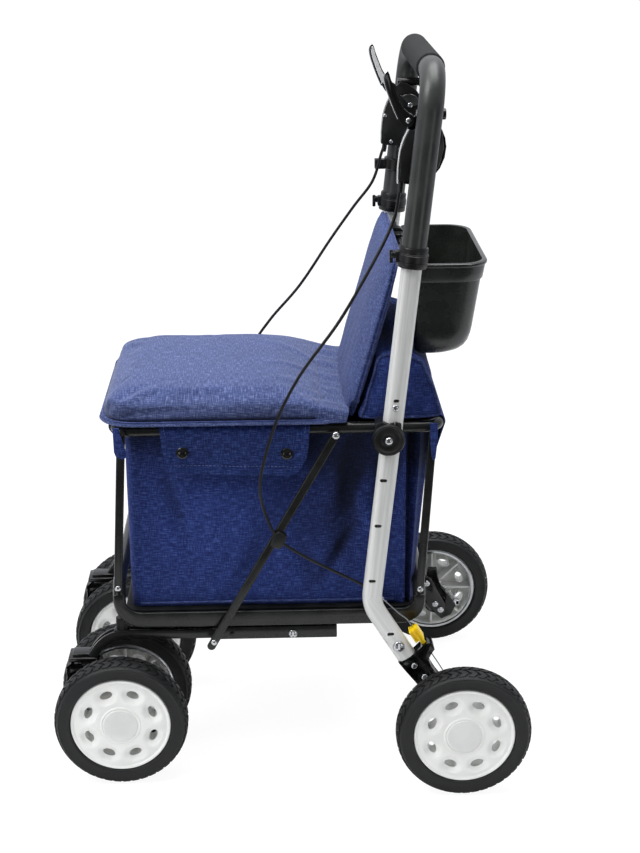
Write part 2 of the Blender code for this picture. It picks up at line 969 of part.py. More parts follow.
def make_stick_clip():
    """Open clip for a walking stick on the right post."""
    center = along_leg(clip_z)
    inner = handle_radius + fit_gap
    outer = inner + 0.0030
    clip = rod(
        "stick_clip",
        along_leg(clip_z - clip_height / 2) - Vector((leg_x, 0.0, 0.0)),
        along_leg(clip_z + clip_height / 2) - Vector((leg_x, 0.0, 0.0)),
        outer,
        20,
    )
    front = box(
        "clip_front",
        (-leg_x - 0.0070, center.y - outer - 0.0130, clip_z - 0.0070),
        (-leg_x + 0.0070, center.y - 0.0100, clip_z + 0.0070),
    )
    slot_y = center.y - outer - 0.0080
    low_z = clip_z - clip_height
    high_z = clip_z + clip_height
    slot = rod("clip_slot", (-leg_x, slot_y, low_z), (-leg_x, slot_y, high_z), 0.0045, 12)
    hollow = rod(
        "clip_bore",
        along_leg(low_z) - Vector((leg_x, 0.0, 0.0)),
        along_leg(high_z) - Vector((leg_x, 0.0, 0.0)),
        bore(handle_radius, 16),
        16,
    )
    mouth = box(
        "clip_mouth",
        (-leg_x - 0.0035, center.y - outer - 0.0300, low_z),
        (-leg_x + 0.0035, slot_y, high_z),
    )
    joined(clip, front)
    finish(cut(clip, slot, mouth, hollow), "black_plastic")


def make_seat_ring():
    corners = [
        (frame_half, ring_front_y, ring_z),
        (frame_half, ring_rear_y, ring_z),
        (-frame_half, ring_rear_y, ring_z),
        (-frame_half, ring_front_y, ring_z),
    ]
    ring = as_mesh(
        tube("seat_ring", rounded(corners, ring_corner, 3, True), ring_radius, 2, True)
    )
    for label, side in (("left", 1.0), ("right", -1.0)):
        bush = rod(
            "fold_bush_" + label,
            (side * frame_half, *fold_pivot),
            (side * (leg_inner_x - fit_gap), *fold_pivot),
            bush_radius,
        )
        stud = rod(
            "strut_stud_" + label,
            (side * frame_half, strut_top[0], ring_z - 0.003),
            (side * (strut_x - slide_gap), strut_top[0], ring_z - 0.003),
            pin_radius,
            8,
        )
        joined(ring, bush, stud)
    finish(ring, "black_steel")


def make_tray_ring():
    """Closed loop of tube: two low rails whose ends rise to the post pivots."""
    corners = []
    for side in (1.0, -1.0):
        run = [
            (side * tray_half, front_post_foot[0], front_post_foot[1]),
            (side * tray_half, front_post_foot[0], tray_z),
            (side * tray_half, rear_post_foot[0], tray_z),
            (side * tray_half, rear_post_foot[0], rear_post_foot[1]),
        ]
        corners += run if side > 0 else run[::-1]
    one_side = [cross_bend_radius, tray_bend_radius, rear_bend_radius, rear_bend_radius]
    path = rounded(corners, one_side + one_side[::-1], 3, True)
    ring = as_mesh(tube("tray_ring", path, tray_radius, 2, True))
    for label, side in (("left", 1.0), ("right", -1.0)):
        lug = plate(
            "tray_lug_" + label,
            strap((tray_pivot[0], tray_z), tray_pivot, 0.016),
            *span(side, tray_half + 0.0030, tray_half + 0.0075),
        )
        pin = rod(
            "tray_pin_" + label,
            (side * (tray_half + 0.004), *tray_pivot),
            (side * (leg_inner_x - fit_gap), *tray_pivot),
            pin_radius,
            10,
        )
        joined(ring, lug, pin)
        for end, foot in (("front", front_post_foot), ("rear", rear_post_foot)):
            stud = rod(
                f"{end}_stud_{label}",
                (side * (tray_half - 0.012), *foot),
                (side * (post_x - fit_gap), *foot),
                pin_radius,
                8,
            )
            joined(ring, stud)
    finish(ring, "black_steel")


def make_tray_floor():
    floor = box(
        "tray_floor",
        (-tray_half + 0.004, front_post_foot[0] + tray_bend_radius, tray_floor_z),
        (
            tray_half - 0.004,
            rear_post_foot[0] - rear_bend_radius,
            tray_floor_z + floor_thickness,
        ),
    )
    finish(floor, "black_plastic")


def post_top(foot):
    """Top pivot of a post: the link between the two leg pivots, moved to its foot."""
    link = (fold_pivot[0] - tray_pivot[0], fold_pivot[1] - tray_pivot[1])
    return (foot[0] + link[0], foot[1] + link[1])


def make_posts(label, side):
    low, high = span(side, post_x, post_x + post_thickness)
    for name, foot in (("front_post_", front_post_foot), ("rear_post_", rear_post_foot)):
        outline = strap(foot, post_top(foot), post_width)
        finish(plate(name + label, outline, low, high, foot), "black_steel")


def make_strut(label, side):
    low, high = span(side, strut_x, strut_x + strut_thickness)
    reach = Vector((strut_foot[0] - strut_top[0], strut_foot[1] - strut_top[1]))
    end = Vector(strut_foot) + reach.normalized() * 0.0070
    outline = strap(strut_top, (end.x, end.y), strut_width)
    finish(plate("strut_" + label, outline, low, high, strut_top), "black_steel")


def make_seat_board():
    board = box(
        "seat_board",
        (-board_half, board_front_y, board_bottom_z),
        (board_half, lid_rear_y, board_bottom_z + board_thickness),
    )
    finish(board, "black_plastic")


def grid_cushion(name, low, high, counts, lift, pinch, material):
    """A pad with a crown and drawn-in sides, shaped from a cut-up cube."""
    bm = bmesh.new()
    bmesh.ops.create_cube(bm, size=1.0)
    for axis, count in enumerate(counts):
        for k in range(1, count):
            plane = Vector((0.0, 0.0, 0.0))
            plane[axis] = -0.5 + k / count
            normal = Vector((0.0, 0.0, 0.0))
            normal[axis] = 1.0
            geometry = bm.verts[:] + bm.edges[:] + bm.faces[:]
            bmesh.ops.bisect_plane(bm, geom=geometry, plane_co=plane, plane_no=normal)
    low, high = Vector(low), Vector(high)
    size = high - low
    for vert in bm.verts:
        u = vert.co.x * 2
        v = vert.co.y * 2
        w = vert.co.z * 2
        crown = (1 - u**4) * (1 - v**4)
        draw = pinch * (1 - w) / 2 * 0.35 + pinch * max(0.0, w) ** 3
        vert.co.x = (low.x + high.x) / 2 + u * (size.x / 2 - draw)
        vert.co.y = (low.y + high.y) / 2 + v * (size.y / 2 - draw)
        vert.co.z = low.z + (w + 1) / 2 * (size.z + lift * crown)
    return finish(mesh_object(name, bm), material)


def make_cushion():
    grid_cushion(
        "seat_cushion",
        (-cushion_half, cushion_front_y, cushion_bottom_z),
        (cushion_half, lid_rear_y, cushion_bottom_z + cushion_height),
        (10, 9, 3),
        cushion_crown,
        0.010,
        "blue_fabric",
    )


def make_backrest():
    """Padded panel whose lower corners stay clear of the seat ring when it folds."""
    notch_x = 0.131
    notch = 0.026
    half = back_half
    outline = [
        (-notch_x, 0.0),
        (notch_x, 0.0),
        (notch_x + 0.004, notch),
        (half, notch + 0.003),
    ]
    outline += arc((half - back_corner, back_length - back_corner), back_corner, 0, 90, 5)
    outline += arc((-half + back_corner, back_length - back_corner), back_corner, 90, 180, 5)
    outline += [(-half, notch + 0.003), (-notch_x - 0.004, notch)]
    curve = bpy.data.curves.new("backrest", "CURVE")
    curve.dimensions = "2D"
    curve.fill_mode = "BOTH"
    curve.extrude = back_thickness / 2
    spline = curve.splines.new("POLY")
    spline.points.add(len(outline) - 1)
    for point, (x, z) in zip(spline.points, outline):
        point.co = (x, z, 0.0, 1.0)
    spline.use_cyclic_u = True
    panel = bpy.data.objects.new("backrest", curve)
    middle = Vector((0.0, *back_bottom)) + Vector(
        (0.0, math.cos(back_lean), -math.sin(back_lean))
    ) * (back_thickness / 2)
    panel.location = middle
    panel.rotation_euler = (math.pi / 2 - back_lean, 0.0, 0.0)
    panel = as_mesh(panel)
    # Clips that hang the panel on the hanger's crossbar.
    for label, side in (("left", 1.0), ("right", -1.0)):
        low, high = span(side, 0.070, 0.086)
        clip = plate(
            "back_clip_" + label,
            [
                (back_hinge[0] - 0.0180, back_hinge[1] - 0.0060),
                (back_hinge[0] + 0.0080, back_hinge[1] - 0.0090),
                (back_hinge[0] + 0.0080, back_hinge[1] + 0.0090),
                (back_hinge[0] - 0.0140, back_hinge[1] + 0.0110),
            ],
            low,
            high,
        )
        hollow = rod(
            "clip_bore_" + label,
            (low - 0.01, *back_hinge),
            (high + 0.01, *back_hinge),
            hanger_radius + fit_gap,
        )
        # Recess that lets the basket's hook pass behind the panel.
        recess_low, recess_high = span(side, hook_low - 0.002, hook_high + 0.002)
        recess = box(
            "hook_recess_" + label,
            (recess_low, hook_front_y - slide_gap, back_hinge[1] - 0.0120),
            (recess_high, hook_front_y + 0.0100, back_hinge[1] + 0.0500),
        )
        joined(panel, clip)
        cut(panel, hollow, recess)
    finish(panel, "blue_fabric")


def make_hanger():
    """Bent tube between the legs that carries the backrest and the basket."""
    foot_x = leg_inner_x + 0.0005
    side = [
        (foot_x, hanger_foot_y, hanger_foot_z),
        (hanger_x, hanger_foot_y, hanger_foot_z),
        (hanger_x, back_hinge[0], hanger_foot_z + 0.040),
        (hanger_x, *back_hinge),
    ]
    path = rounded(side + sided(side[::-1], -1.0), 0.012, 3)
    finish(tube("back_hanger", path, hanger_radius, 2), "black_steel")


def make_pouch():
    """Soft pocket on the rear of the seat ring, behind the backrest."""
    side = [
        (0.0980, 0.0),
        (0.1190, 0.0920),
        (0.1390, 0.0950),
        (0.1650, 0.0910),
        (0.1774, 0.0840),
        (0.1907, 0.0500),
        (0.2043, 0.0130),
        (0.2030, 0.0),
    ]
    outline = [(y, board_bottom_z + rise) for y, rise in side]
    finish(plate("rear_pouch", outline, -pouch_half, pouch_half), "blue_fabric")


def make_bag():
    """Open-topped fabric box that hangs in the seat ring and rests on the tray."""
    low_z = tray_floor_z + floor_thickness + fit_gap
    front = bag_front_y + bag_wall
    foot = bag_foot_y - bag_wall
    rear = bag_rear_y - bag_wall
    outline = [
        (bag_front_y, low_z),
        (bag_foot_y, low_z),
        (bag_foot_y, rear_post_foot[1] + tray_radius),
        (bag_rear_y, bag_top_z),
        (bag_front_y, bag_top_z),
    ]
    inside = [
        (front, low_z + bag_wall),
        (foot, low_z + bag_wall),
        (foot, rear_post_foot[1] + tray_radius),
        (rear, bag_top_z),
        (rear, bag_top_z + 0.02),
        (front, bag_top_z + 0.02),
    ]
    bag = as_mesh(plate("bag", outline, -bag_half, bag_half))
    hollow = plate("bag_hollow", inside, -bag_half + bag_wall, bag_half - bag_wall)
    finish(cut(bag, hollow), "blue_fabric")


def make_flap(label, side):
    """Flap of the side pocket, hanging from the seat ring's rail over the bag."""
    top = ring_radius + fit_gap
    hang = [
        (-0.1690, top),
        (-0.1690, 0.0465),
        (-0.1600, 0.0555),
        (0.0190, 0.0615),
        (0.0290, 0.0535),
        (0.0290, top),
    ]
    outline = [(y, ring_z - drop) for y, drop in hang]
    low, high = span(side, frame_half - flap_inset, frame_half - flap_inset + flap_thickness)
    finish(plate("pocket_flap_" + label, outline, low, high), "blue_fabric")


def make_basket():
    """Plastic basket with drafted walls that hooks over the hanger."""
    bm = bmesh.new()
    rings = (
        (basket_bottom_z, basket_draft, basket_front_draft),
        (basket_top_z, 0.0, 0.0),
    )
    corner = 0.030
    loops = []
    for z, inset, front_inset in rings:
        half = basket_half - inset * 0.55
        rear = basket_rear_y - inset
        front = basket_front_y + front_inset
        arcs = [
            *arc((half - corner, rear - corner), corner, 0, 90, 4),
            *arc((-half + corner, rear - corner), corner, 90, 180, 4),
            (-half, front),
            (half, front),
        ]
        loops.append([bm.verts.new((x, y, z)) for x, y in arcs])
    for lower, upper in zip(loops, loops[1:]):
        for a, b, c, d in zip(lower, lower[1:] + lower[:1], upper[1:] + upper[:1], upper):
            bm.faces.new((a, b, c, d))
    bm.faces.new(loops[0][::-1])
    basket = mesh_object("basket", bm)
    shell = basket.modifiers.new("wall", "SOLIDIFY")
    shell.thickness = basket_wall
    shell.offset = -1.0
    hook_top = back_hinge[1] + hanger_radius + 0.0040
    for label, side in (("left", 1.0), ("right", -1.0)):
        low, high = span(side, hook_low, hook_high)
        hook = plate(
            "basket_hook_" + label,
            [
                (hook_front_y, hook_top),
                (hook_front_y, back_hinge[1] - 0.0050),
                (0.1524, back_hinge[1] - 0.0050),
                (0.1524, back_hinge[1] + hanger_radius + fit_gap),
                (basket_front_y + 0.0012, back_hinge[1] + hanger_radius + fit_gap),
                (basket_front_y + 0.0012, hook_top),
            ],
            low,
            high,
        )
        joined(basket, hook)
    finish(basket, "black_plastic")


def make_cable(label, side, route):
    path = smooth(sided(route, side), 3)
    finish(tube("brake_cable_" + label, path, cable_radius, 2), "black_plastic")


for old in list(bpy.data.objects):
    bpy.data.objects.remove(old)
parts = new_collection("shopping_rollator")
cutters = new_collection("cutters")

make_wheels()
for label, side in (("left", 1.0), ("right", -1.0)):
    make_fork(label, side)
    make_carrier(label, side)
    make_leg(label, side)
    make_rear_bracket(label, side)
    make_brake_arm(label, side)
    make_spring(label, side)
    make_adjuster(label, side)
    make_pivot_knob(label, side)
    make_collar(label, side)
    make_brake_grip(label, side)
    make_posts(label, side)
    make_strut(label, side)
    make_flap(label, side)
make_cable("left", 1.0, near_cable)
make_cable("right", -1.0, far_cable)
make_handle()
make_stick_clip()
make_hanger()
make_seat_ring()
make_seat_board()
make_cushion()
make_backrest()
make_pouch()
make_tray_ring()
make_tray_floor()
make_bag()
make_basket()
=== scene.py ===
import json
import math

import bpy
from mathutils import Matrix, Vector, noise


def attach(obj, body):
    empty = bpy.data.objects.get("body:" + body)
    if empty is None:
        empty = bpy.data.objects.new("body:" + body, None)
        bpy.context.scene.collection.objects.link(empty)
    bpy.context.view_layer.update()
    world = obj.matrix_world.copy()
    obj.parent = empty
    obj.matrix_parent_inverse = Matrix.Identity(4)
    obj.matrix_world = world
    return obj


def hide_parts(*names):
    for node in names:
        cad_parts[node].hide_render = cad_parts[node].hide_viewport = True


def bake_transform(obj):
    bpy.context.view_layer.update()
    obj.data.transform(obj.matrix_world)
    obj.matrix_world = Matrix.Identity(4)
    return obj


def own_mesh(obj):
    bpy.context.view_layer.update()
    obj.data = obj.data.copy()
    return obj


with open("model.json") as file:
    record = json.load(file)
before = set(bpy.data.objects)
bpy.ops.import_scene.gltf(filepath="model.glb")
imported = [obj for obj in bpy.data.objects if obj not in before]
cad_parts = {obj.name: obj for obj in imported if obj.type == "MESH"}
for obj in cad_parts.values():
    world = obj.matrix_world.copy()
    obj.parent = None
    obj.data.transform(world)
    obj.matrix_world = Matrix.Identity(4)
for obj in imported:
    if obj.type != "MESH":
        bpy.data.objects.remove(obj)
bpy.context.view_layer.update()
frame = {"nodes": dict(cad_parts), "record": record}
bodyOf = {n: b for b, nodes in frame["record"]["behaviour"]["bodies"].items() for n in nodes}
print("frame loaded,", len(frame["nodes"]), "nodes")

upAxis = Vector((0.0, 0.0, 1.0))
sides = (("left", 1.0), ("right", -1.0))

# Camera, lamps and floor

cameraView = {"lens": 68.52, "place": (2.127, -0.0109, 1.1822), "pitch": 19.21, "yaw": 1.559, "roll": -0.413}

yaw, pitch, roll = (math.radians(cameraView[k]) for k in ("yaw", "pitch", "roll"))
level = Vector((-math.cos(yaw), math.sin(yaw), 0.0))
across = Vector((math.sin(yaw), math.cos(yaw), 0.0))
forward = level * math.cos(pitch) - upAxis * math.sin(pitch)
tipped = upAxis * math.cos(pitch) + level * math.sin(pitch)
rightward = across * math.cos(roll) + tipped * math.sin(roll)
upward = tipped * math.cos(roll) - across * math.sin(roll)
turn = Matrix((rightward, upward, -forward)).transposed().to_4x4()
bpy.ops.object.camera_add()
camera = bpy.context.active_object
camera.matrix_world = Matrix.Translation(cameraView["place"]) @ turn
camera.data.lens = cameraView["lens"]
camera.data.sensor_width = 36.0
camera.data.clip_end = 60.0
bpy.context.scene.camera = camera
bpy.context.scene.view_settings.view_transform = "Standard"

lampPlan = {
    "keySoftbox": {"place": (0.95, -1.6, 2.7), "size": 1.5, "watts": 54.0},
    "topSoftbox": {"place": (-0.1, 0.4, 3.0), "size": 2.0, "watts": 66.0},
    "lowStripFront": {"place": (1.6, -1.45, 0.3), "size": 0.8, "watts": 4.5},
    "lowStripRear": {"place": (1.95, 1.35, 0.32), "size": 0.7, "watts": 3.0},
}
for lampName, plan in lampPlan.items():
    bpy.ops.object.light_add(type="AREA", location=plan["place"])
    lamp = bpy.context.active_object
    lamp.name = lampName
    lamp.data.size = plan["size"]
    lamp.data.energy = plan["watts"]
    lamp.rotation_euler = (Vector((0.0, 0.0, 0.42)) - lamp.location).to_track_quat("-Z", "Y").to_euler()


def linearColour(hexText):
    channels = [int(hexText[k : k + 2], 16) / 255 for k in (1, 3, 5)]
    return tuple(c / 12.92 if c <= 0.04045 else ((c + 0.055) / 1.055) ** 2.4 for c in channels) + (1.0,)


def addNode(tree, kind, settings=None, links=None):
    node = tree.nodes.new(kind)
    for key, value in (settings or {}).items():
        setattr(node, key, value)
    for key, value in (links or {}).items():
        if isinstance(value, bpy.types.NodeSocket):
            tree.links.new(value, node.inputs[key])
        else:
            node.inputs[key].default_value = value
    return node


def newMaterial(name, **shaderValues):
    material = bpy.data.materials.new(name)
    material.use_nodes = True
    tree = material.node_tree
    shader = next(n for n in tree.nodes if n.type == "BSDF_PRINCIPLED")
    for key, value in shaderValues.items():
        shader.inputs[key.replace("_", " ")].default_value = value
    return material, tree, shader


def setRamp(ramp, stops):
    while len(ramp.color_ramp.elements) < len(stops):
        ramp.color_ramp.elements.new(0.5)
    for element, (place, hexText) in zip(ramp.color_ramp.elements, stops):
        element.position = place
        element.color = linearColour(hexText)


world = bpy.data.worlds.new("studioAir")
bpy.context.scene.world = world
world.use_nodes = True
airTree = world.node_tree
airTree.nodes.clear()
airPath = addNode(airTree, "ShaderNodeLightPath")
# The studio is brighter above and behind the rollator than on the photographer's side.
airWay = addNode(airTree, "ShaderNodeTexCoord")
airParts = addNode(airTree, "ShaderNodeSeparateXYZ", links={0: airWay.outputs["Generated"]})
airDepth = addNode(
    airTree, "ShaderNodeMapRange",
    links={
        "Value": airParts.outputs["X"], "From Min": -0.9, "From Max": 0.7, "To Min": 0.85, "To Max": 0.13,
    },
)
airHigh = addNode(
    airTree, "ShaderNodeMapRange",
    links={"Value": airParts.outputs["Z"], "From Min": 0.1, "From Max": 1.0, "To Min": 0.0, "To Max": 0.25},
)
airSum = addNode(
    airTree, "ShaderNodeMath", {"operation": "ADD"}, {0: airDepth.outputs[0], 1: airHigh.outputs[0]},
)
airLight = addNode(
    airTree, "ShaderNodeBackground", links={"Color": linearColour("#f6f8ff"), "Strength": airSum.outputs[0]}
)
airWhite = addNode(airTree, "ShaderNodeBackground", links={"Color": (1, 1, 1, 1), "Strength": 1.0})
airMix = addNode(
    airTree, "ShaderNodeMixShader",
    links={0: airPath.outputs["Is Camera Ray"], 1: airLight.outputs[0], 2: airWhite.outputs[0]},
)
addNode(airTree, "ShaderNodeOutputWorld", links={"Surface": airMix.outputs[0]})

# White sweep: most of what the camera sees of it is its own white, and the rest keeps the shadow.
paperMaterial, paperTree, paperShader = newMaterial("whitePaperSweep", Roughness=0.9)
# The sheet ends in front of the rollator, where the studio floor is dark.
paperPlace = addNode(paperTree, "ShaderNodeTexCoord")
paperParts = addNode(paperTree, "ShaderNodeSeparateXYZ", links={0: paperPlace.outputs["Object"]})
paperTone = addNode(
    paperTree, "ShaderNodeMapRange",
    links={
        "Value": paperParts.outputs["X"], "From Min": 0.645, "From Max": 0.8, "To Min": 0.8, "To Max": 0.08,
    },
)
paperTree.links.new(paperTone.outputs[0], paperShader.inputs["Base Color"])
paperShader.inputs["Specular IOR Level"].default_value = 0.1
paperOut = next(n for n in paperTree.nodes if n.type == "OUTPUT_MATERIAL")
paperPath = addNode(paperTree, "ShaderNodeLightPath")
paperSeen = addNode(
    paperTree, "ShaderNodeMath", {"operation": "MULTIPLY"}, {0: paperPath.outputs["Is Camera Ray"], 1: 0.8},
)
paperGlow = addNode(
    paperTree, "ShaderNodeMapRange",
    links={
        "Value": paperParts.outputs["X"], "From Min": 0.645, "From Max": 0.8, "To Min": 1.16, "To Max": 1.3,
    },
)
paperWhite = addNode(
    paperTree, "ShaderNodeEmission", links={"Color": (1, 1, 1, 1), "Strength": paperGlow.outputs[0]}
)
paperMix = addNode(
    paperTree, "ShaderNodeMixShader",
    links={0: paperSeen.outputs[0], 1: paperShader.outputs[0], 2: paperWhite.outputs[0]},
)
paperTree.links.new(paperMix.outputs[0], paperOut.inputs["Surface"])
bpy.ops.mesh.primitive_plane_add(size=30.0, location=(0.0, 0.0, 0.0))
floor = bpy.context.active_object
floor.name = "floorSweep"
floor.data.materials.append(paperMaterial)
print("studio ready")

# Materials


def heatherPolyester(name, deep, middle, pale, sheen=0.12):
    # Woven 600-denier polyester melange: pale and dark slubs in both thread directions.
    # Real threads are 0.4 mm apart; the slubs are drawn 1.3 mm thick and 12 mm long so that they show.
    material, tree, shader = newMaterial(name, Roughness=0.86)
    shader.inputs["Sheen Weight"].default_value = sheen
    shader.inputs["Sheen Roughness"].default_value = 0.5
    shader.inputs["Sheen Tint"].default_value = linearColour("#c4cad6")
    shader.inputs["Specular IOR Level"].default_value = 0.25
    cloth = addNode(tree, "ShaderNodeUVMap")
    weftPlace = addNode(
        tree, "ShaderNodeMapping", links={"Vector": cloth.outputs["UV"], "Scale": (85, 760, 1)},
    )
    warpPlace = addNode(
        tree, "ShaderNodeMapping", links={"Vector": cloth.outputs["UV"], "Scale": (760, 110, 1)},
    )
    weft = addNode(
        tree, "ShaderNodeTexNoise", {"noise_dimensions": "2D"},
        {"Vector": weftPlace.outputs[0], "Scale": 1.0, "Detail": 2.0},
    )
    warp = addNode(
        tree, "ShaderNodeTexNoise", {"noise_dimensions": "2D"},
        {"Vector": warpPlace.outputs[0], "Scale": 1.0, "Detail": 2.0},
    )
    threads = addNode(tree, "ShaderNodeMix", links={0: 0.42, 2: weft.outputs[0], 3: warp.outputs[0]})
    ramp = addNode(tree, "ShaderNodeValToRGB", links={0: threads.outputs[0]})
    setRamp(ramp, [(0.34, deep), (0.5, middle), (0.68, pale)])
    place = addNode(tree, "ShaderNodeTexCoord")
    wear = addNode(
        tree, "ShaderNodeTexNoise", links={"Vector": place.outputs["Object"], "Scale": 22.0, "Detail": 2.0},
    )
    wearRange = addNode(
        tree, "ShaderNodeMapRange",
        links={"Value": wear.outputs[0], "From Min": 0.3, "From Max": 0.7, "To Min": 0.94, "To Max": 1.05},
    )
    # Painted shade: a value on the cloth's vertices darkens the bag's hollows, the bag under the seat's
    # overhang and the seat cushion's side band, on top of the random wear tone.
    paintedShadeValue = addNode(tree, "ShaderNodeAttribute", {"attribute_name": "paintedShade"})
    wearAndPaintedShade = addNode(
        tree, "ShaderNodeMath", {"operation": "ADD"}, {0: paintedShadeValue.outputs["Fac"], 1: wearRange.outputs[0]},
    )
    tone = addNode(
        tree, "ShaderNodeHueSaturation", links={"Color": ramp.outputs[0], "Value": wearAndPaintedShade.outputs[0]},
    )
    tree.links.new(tone.outputs[0], shader.inputs["Base Color"])
    bump = addNode(
        tree, "ShaderNodeBump", links={"Height": threads.outputs[0], "Strength": 0.3, "Distance": 0.0008},
    )
    tree.links.new(bump.outputs[0], shader.inputs["Normal"])
    return material


def grainedMaterial(name, hexDark, hexLight, roughness, grainMm, bumpMm, toneMm=30.0, spread=0.06, **values):
    # A moulded or coated surface: fine grain in the bump, slow change in tone and gloss.
    material, tree, shader = newMaterial(name, Roughness=roughness, **values)
    place = addNode(tree, "ShaderNodeTexCoord")
    slow = addNode(
        tree, "ShaderNodeTexNoise",
        links={"Vector": place.outputs["Object"], "Scale": 1000.0 / toneMm, "Detail": 3.0},
    )
    ramp = addNode(tree, "ShaderNodeValToRGB", links={0: slow.outputs[0]})
    setRamp(ramp, [(0.35, hexDark), (0.65, hexLight)])
    tree.links.new(ramp.outputs[0], shader.inputs["Base Color"])
    gloss = addNode(
        tree, "ShaderNodeMapRange",
        links={
            "Value": slow.outputs[0], "From Min": 0.3, "From Max": 0.7, "To Min": roughness - spread,
            "To Max": roughness + spread,
        },
    )
    tree.links.new(gloss.outputs[0], shader.inputs["Roughness"])
    grain = addNode(
        tree, "ShaderNodeTexNoise",
        links={"Vector": place.outputs["Object"], "Scale": 1000.0 / grainMm, "Detail": 2.0},
    )
    bump = addNode(
        tree, "ShaderNodeBump",
        links={"Height": grain.outputs[0], "Strength": 0.5, "Distance": bumpMm / 1000},
    )
    tree.links.new(bump.outputs[0], shader.inputs["Normal"])
    return material


def brushedAluminium(name, hexDark, hexLight):
    # Extruded and satin anodised aluminium: drawing lines run along the tube's own length. The thick
    # oxide layer scatters most of the light, so it reads as a pale silver coat with a soft highlight.
    material, tree, shader = newMaterial(name, Metallic=0.18, Roughness=0.36)
    place = addNode(tree, "ShaderNodeUVMap")
    along = addNode(tree, "ShaderNodeMapping", links={"Vector": place.outputs["UV"], "Scale": (420, 5, 1)})
    lines = addNode(
        tree, "ShaderNodeTexNoise", {"noise_dimensions": "2D"}, {
            "Vector": along.outputs[0], "Scale": 1.0, "Detail": 3.0,
        }
    )
    ramp = addNode(tree, "ShaderNodeValToRGB", links={0: lines.outputs[0]})
    setRamp(ramp, [(0.35, hexDark), (0.65, hexLight)])
    tree.links.new(ramp.outputs[0], shader.inputs["Base Color"])
    gloss = addNode(
        tree, "ShaderNodeMapRange",
        links={"Value": lines.outputs[0], "From Min": 0.3, "From Max": 0.7, "To Min": 0.33, "To Max": 0.43},
    )
    tree.links.new(gloss.outputs[0], shader.inputs["Roughness"])
    bump = addNode(
        tree, "ShaderNodeBump", links={"Height": lines.outputs[0], "Strength": 0.05, "Distance": 0.0001},
    )
    tree.links.new(bump.outputs[0], shader.inputs["Normal"])
    return material


# One fabric in several copies whose blues paint light and shade: the seat and backrest copies paler, as lit
# from above, and the flap copy darker, in the seat's shadow.
litSeatCloth = heatherPolyester("heatherPolyesterSeatLit", "#29345d", "#394674", "#66729c", 0.34)
litBackCloth = heatherPolyester("heatherPolyesterBackLit", "#212c58", "#303f72", "#596798", 0.14)
bagCloth = heatherPolyester("heatherPolyesterBag", "#121f4d", "#1c2e6b", "#3e5190", 0.08)
shadedFlapCloth = heatherPolyester("heatherPolyesterFlapShaded", "#0b1a48", "#16295f", "#3b4f8e", 0.06)
# Binding tape: the same yarn woven tighter, so it reads smoother and darker.
bindingTape = heatherPolyester("wovenBindingTape", "#1b2857", "#293769", "#525f93", 0.2)
# Polyester thread of the top stitching.
threadMaterial = grainedMaterial("polyesterThread", "#4c5c92", "#6272a6", 0.7, 0.8, 0.1)
# Powder coat on steel: orange peel about 1.5 mm across, soft highlights.
powderCoat = grainedMaterial(
    "powderCoatedSteel", "#171817", "#212221", 0.22, 1.5, 0.04, spread=0.04, Specular_IOR_Level=0.36
)
# Anodised black on the handle tube: satin with a soft highlight.
satinBlack = grainedMaterial("blackAnodisedTube", "#2e302f", "#3a3c3b", 0.36, 0.9, 0.03)
# Glass-filled nylon mouldings: dull black with moulding grain of 0.6 mm drawn at 1 mm.
blackNylon = grainedMaterial(
    "glassFilledNylon", "#0c0d0d", "#161717", 0.36, 1.0, 0.05, Specular_IOR_Level=0.4,
)
glossNylon = grainedMaterial("polishedNylon", "#090a0a", "#101110", 0.17, 1.4, 0.02, spread=0.04)
# Polypropylene basket: satin injection moulding, a shade warmer than the nylon parts.
basketPlastic = grainedMaterial(
    "mouldedPolypropyleneBlack", "#1d201d", "#272a27", 0.27, 0.9, 0.03, spread=0.04,
)
# White polypropylene wheel covers: smooth, semi-matt.
whitePlastic = grainedMaterial("whitePolypropylene", "#eeefeb", "#f4f5f2", 0.4, 1.1, 0.03)
capPlastic = grainedMaterial("satinFoilDisc", "#dcdedb", "#e6e7e4", 0.38, 0.8, 0.04)
# Cured rubber: matt, dusty grey where it wears.
tyreRubber = grainedMaterial("curedRubber", "#111212", "#1b1c1c", 0.54, 1.2, 0.08, Specular_IOR_Level=0.35)
# Closed-cell foam of the grip: cells of 0.5 mm drawn at 0.9 mm.
gripFoam = grainedMaterial(
    "closedCellFoam", "#242525", "#2c2d2d", 0.88, 0.9, 0.35, 120.0, Specular_IOR_Level=0.2,
)
legAluminium = brushedAluminium("satinAnodisedAluminium", "#dcddda", "#e9eae7")
# Painted highlight: a pale inlay on the brake levers and a pale strip on the housings' front edges stand for
# the glint on glossy black edges.
paintedHighlight = grainedMaterial("paintedHighlightInlay", "#e6e7e6", "#f2f2f1", 0.24, 1.0, 0.02, Metallic=0.2)
# Zinc plate on screws, rivets and small steel parts.
zincPlate = grainedMaterial("brightZincPlate", "#b5b7b8", "#d2d4d5", 0.22, 1.0, 0.03, Metallic=1.0)
# Yellow acetal of the cable adjusters.
yellowAcetal = grainedMaterial("yellowAcetal", "#f4cc06", "#ffe01c", 0.36, 1.0, 0.03)
# Burnished steel of the brake's quadrant.
burnishedSteel = grainedMaterial("burnishedSteel", "#5c5e5d", "#7a7c7b", 0.34, 1.0, 0.02, Metallic=1.0)
# Painted shade: the dark inside of the hollow leg tube, seen through its slots, painted on the slots' floors.
boreShade = grainedMaterial("paintedBoreShade", "#1c1d1d", "#2a2b2c", 0.7, 1.0, 0.05)
print("materials ready")

# Modelling helpers


def deselectAll():
    if bpy.context.mode != "OBJECT":
        bpy.ops.object.mode_set(mode="OBJECT")
    bpy.ops.object.select_all(action="DESELECT")


def activate(piece):
    deselectAll()
    piece.select_set(True)
    bpy.context.view_layer.objects.active = piece


def editAll():
    bpy.ops.object.mode_set(mode="EDIT")
    bpy.ops.mesh.select_all(action="SELECT")


def applyModifier(piece, kind, **settings):
    activate(piece)
    modifier = piece.modifiers.new(kind.lower(), kind)
    for key, value in settings.items():
        setattr(modifier, key, value)
    bpy.ops.object.modifier_apply(modifier=modifier.name)


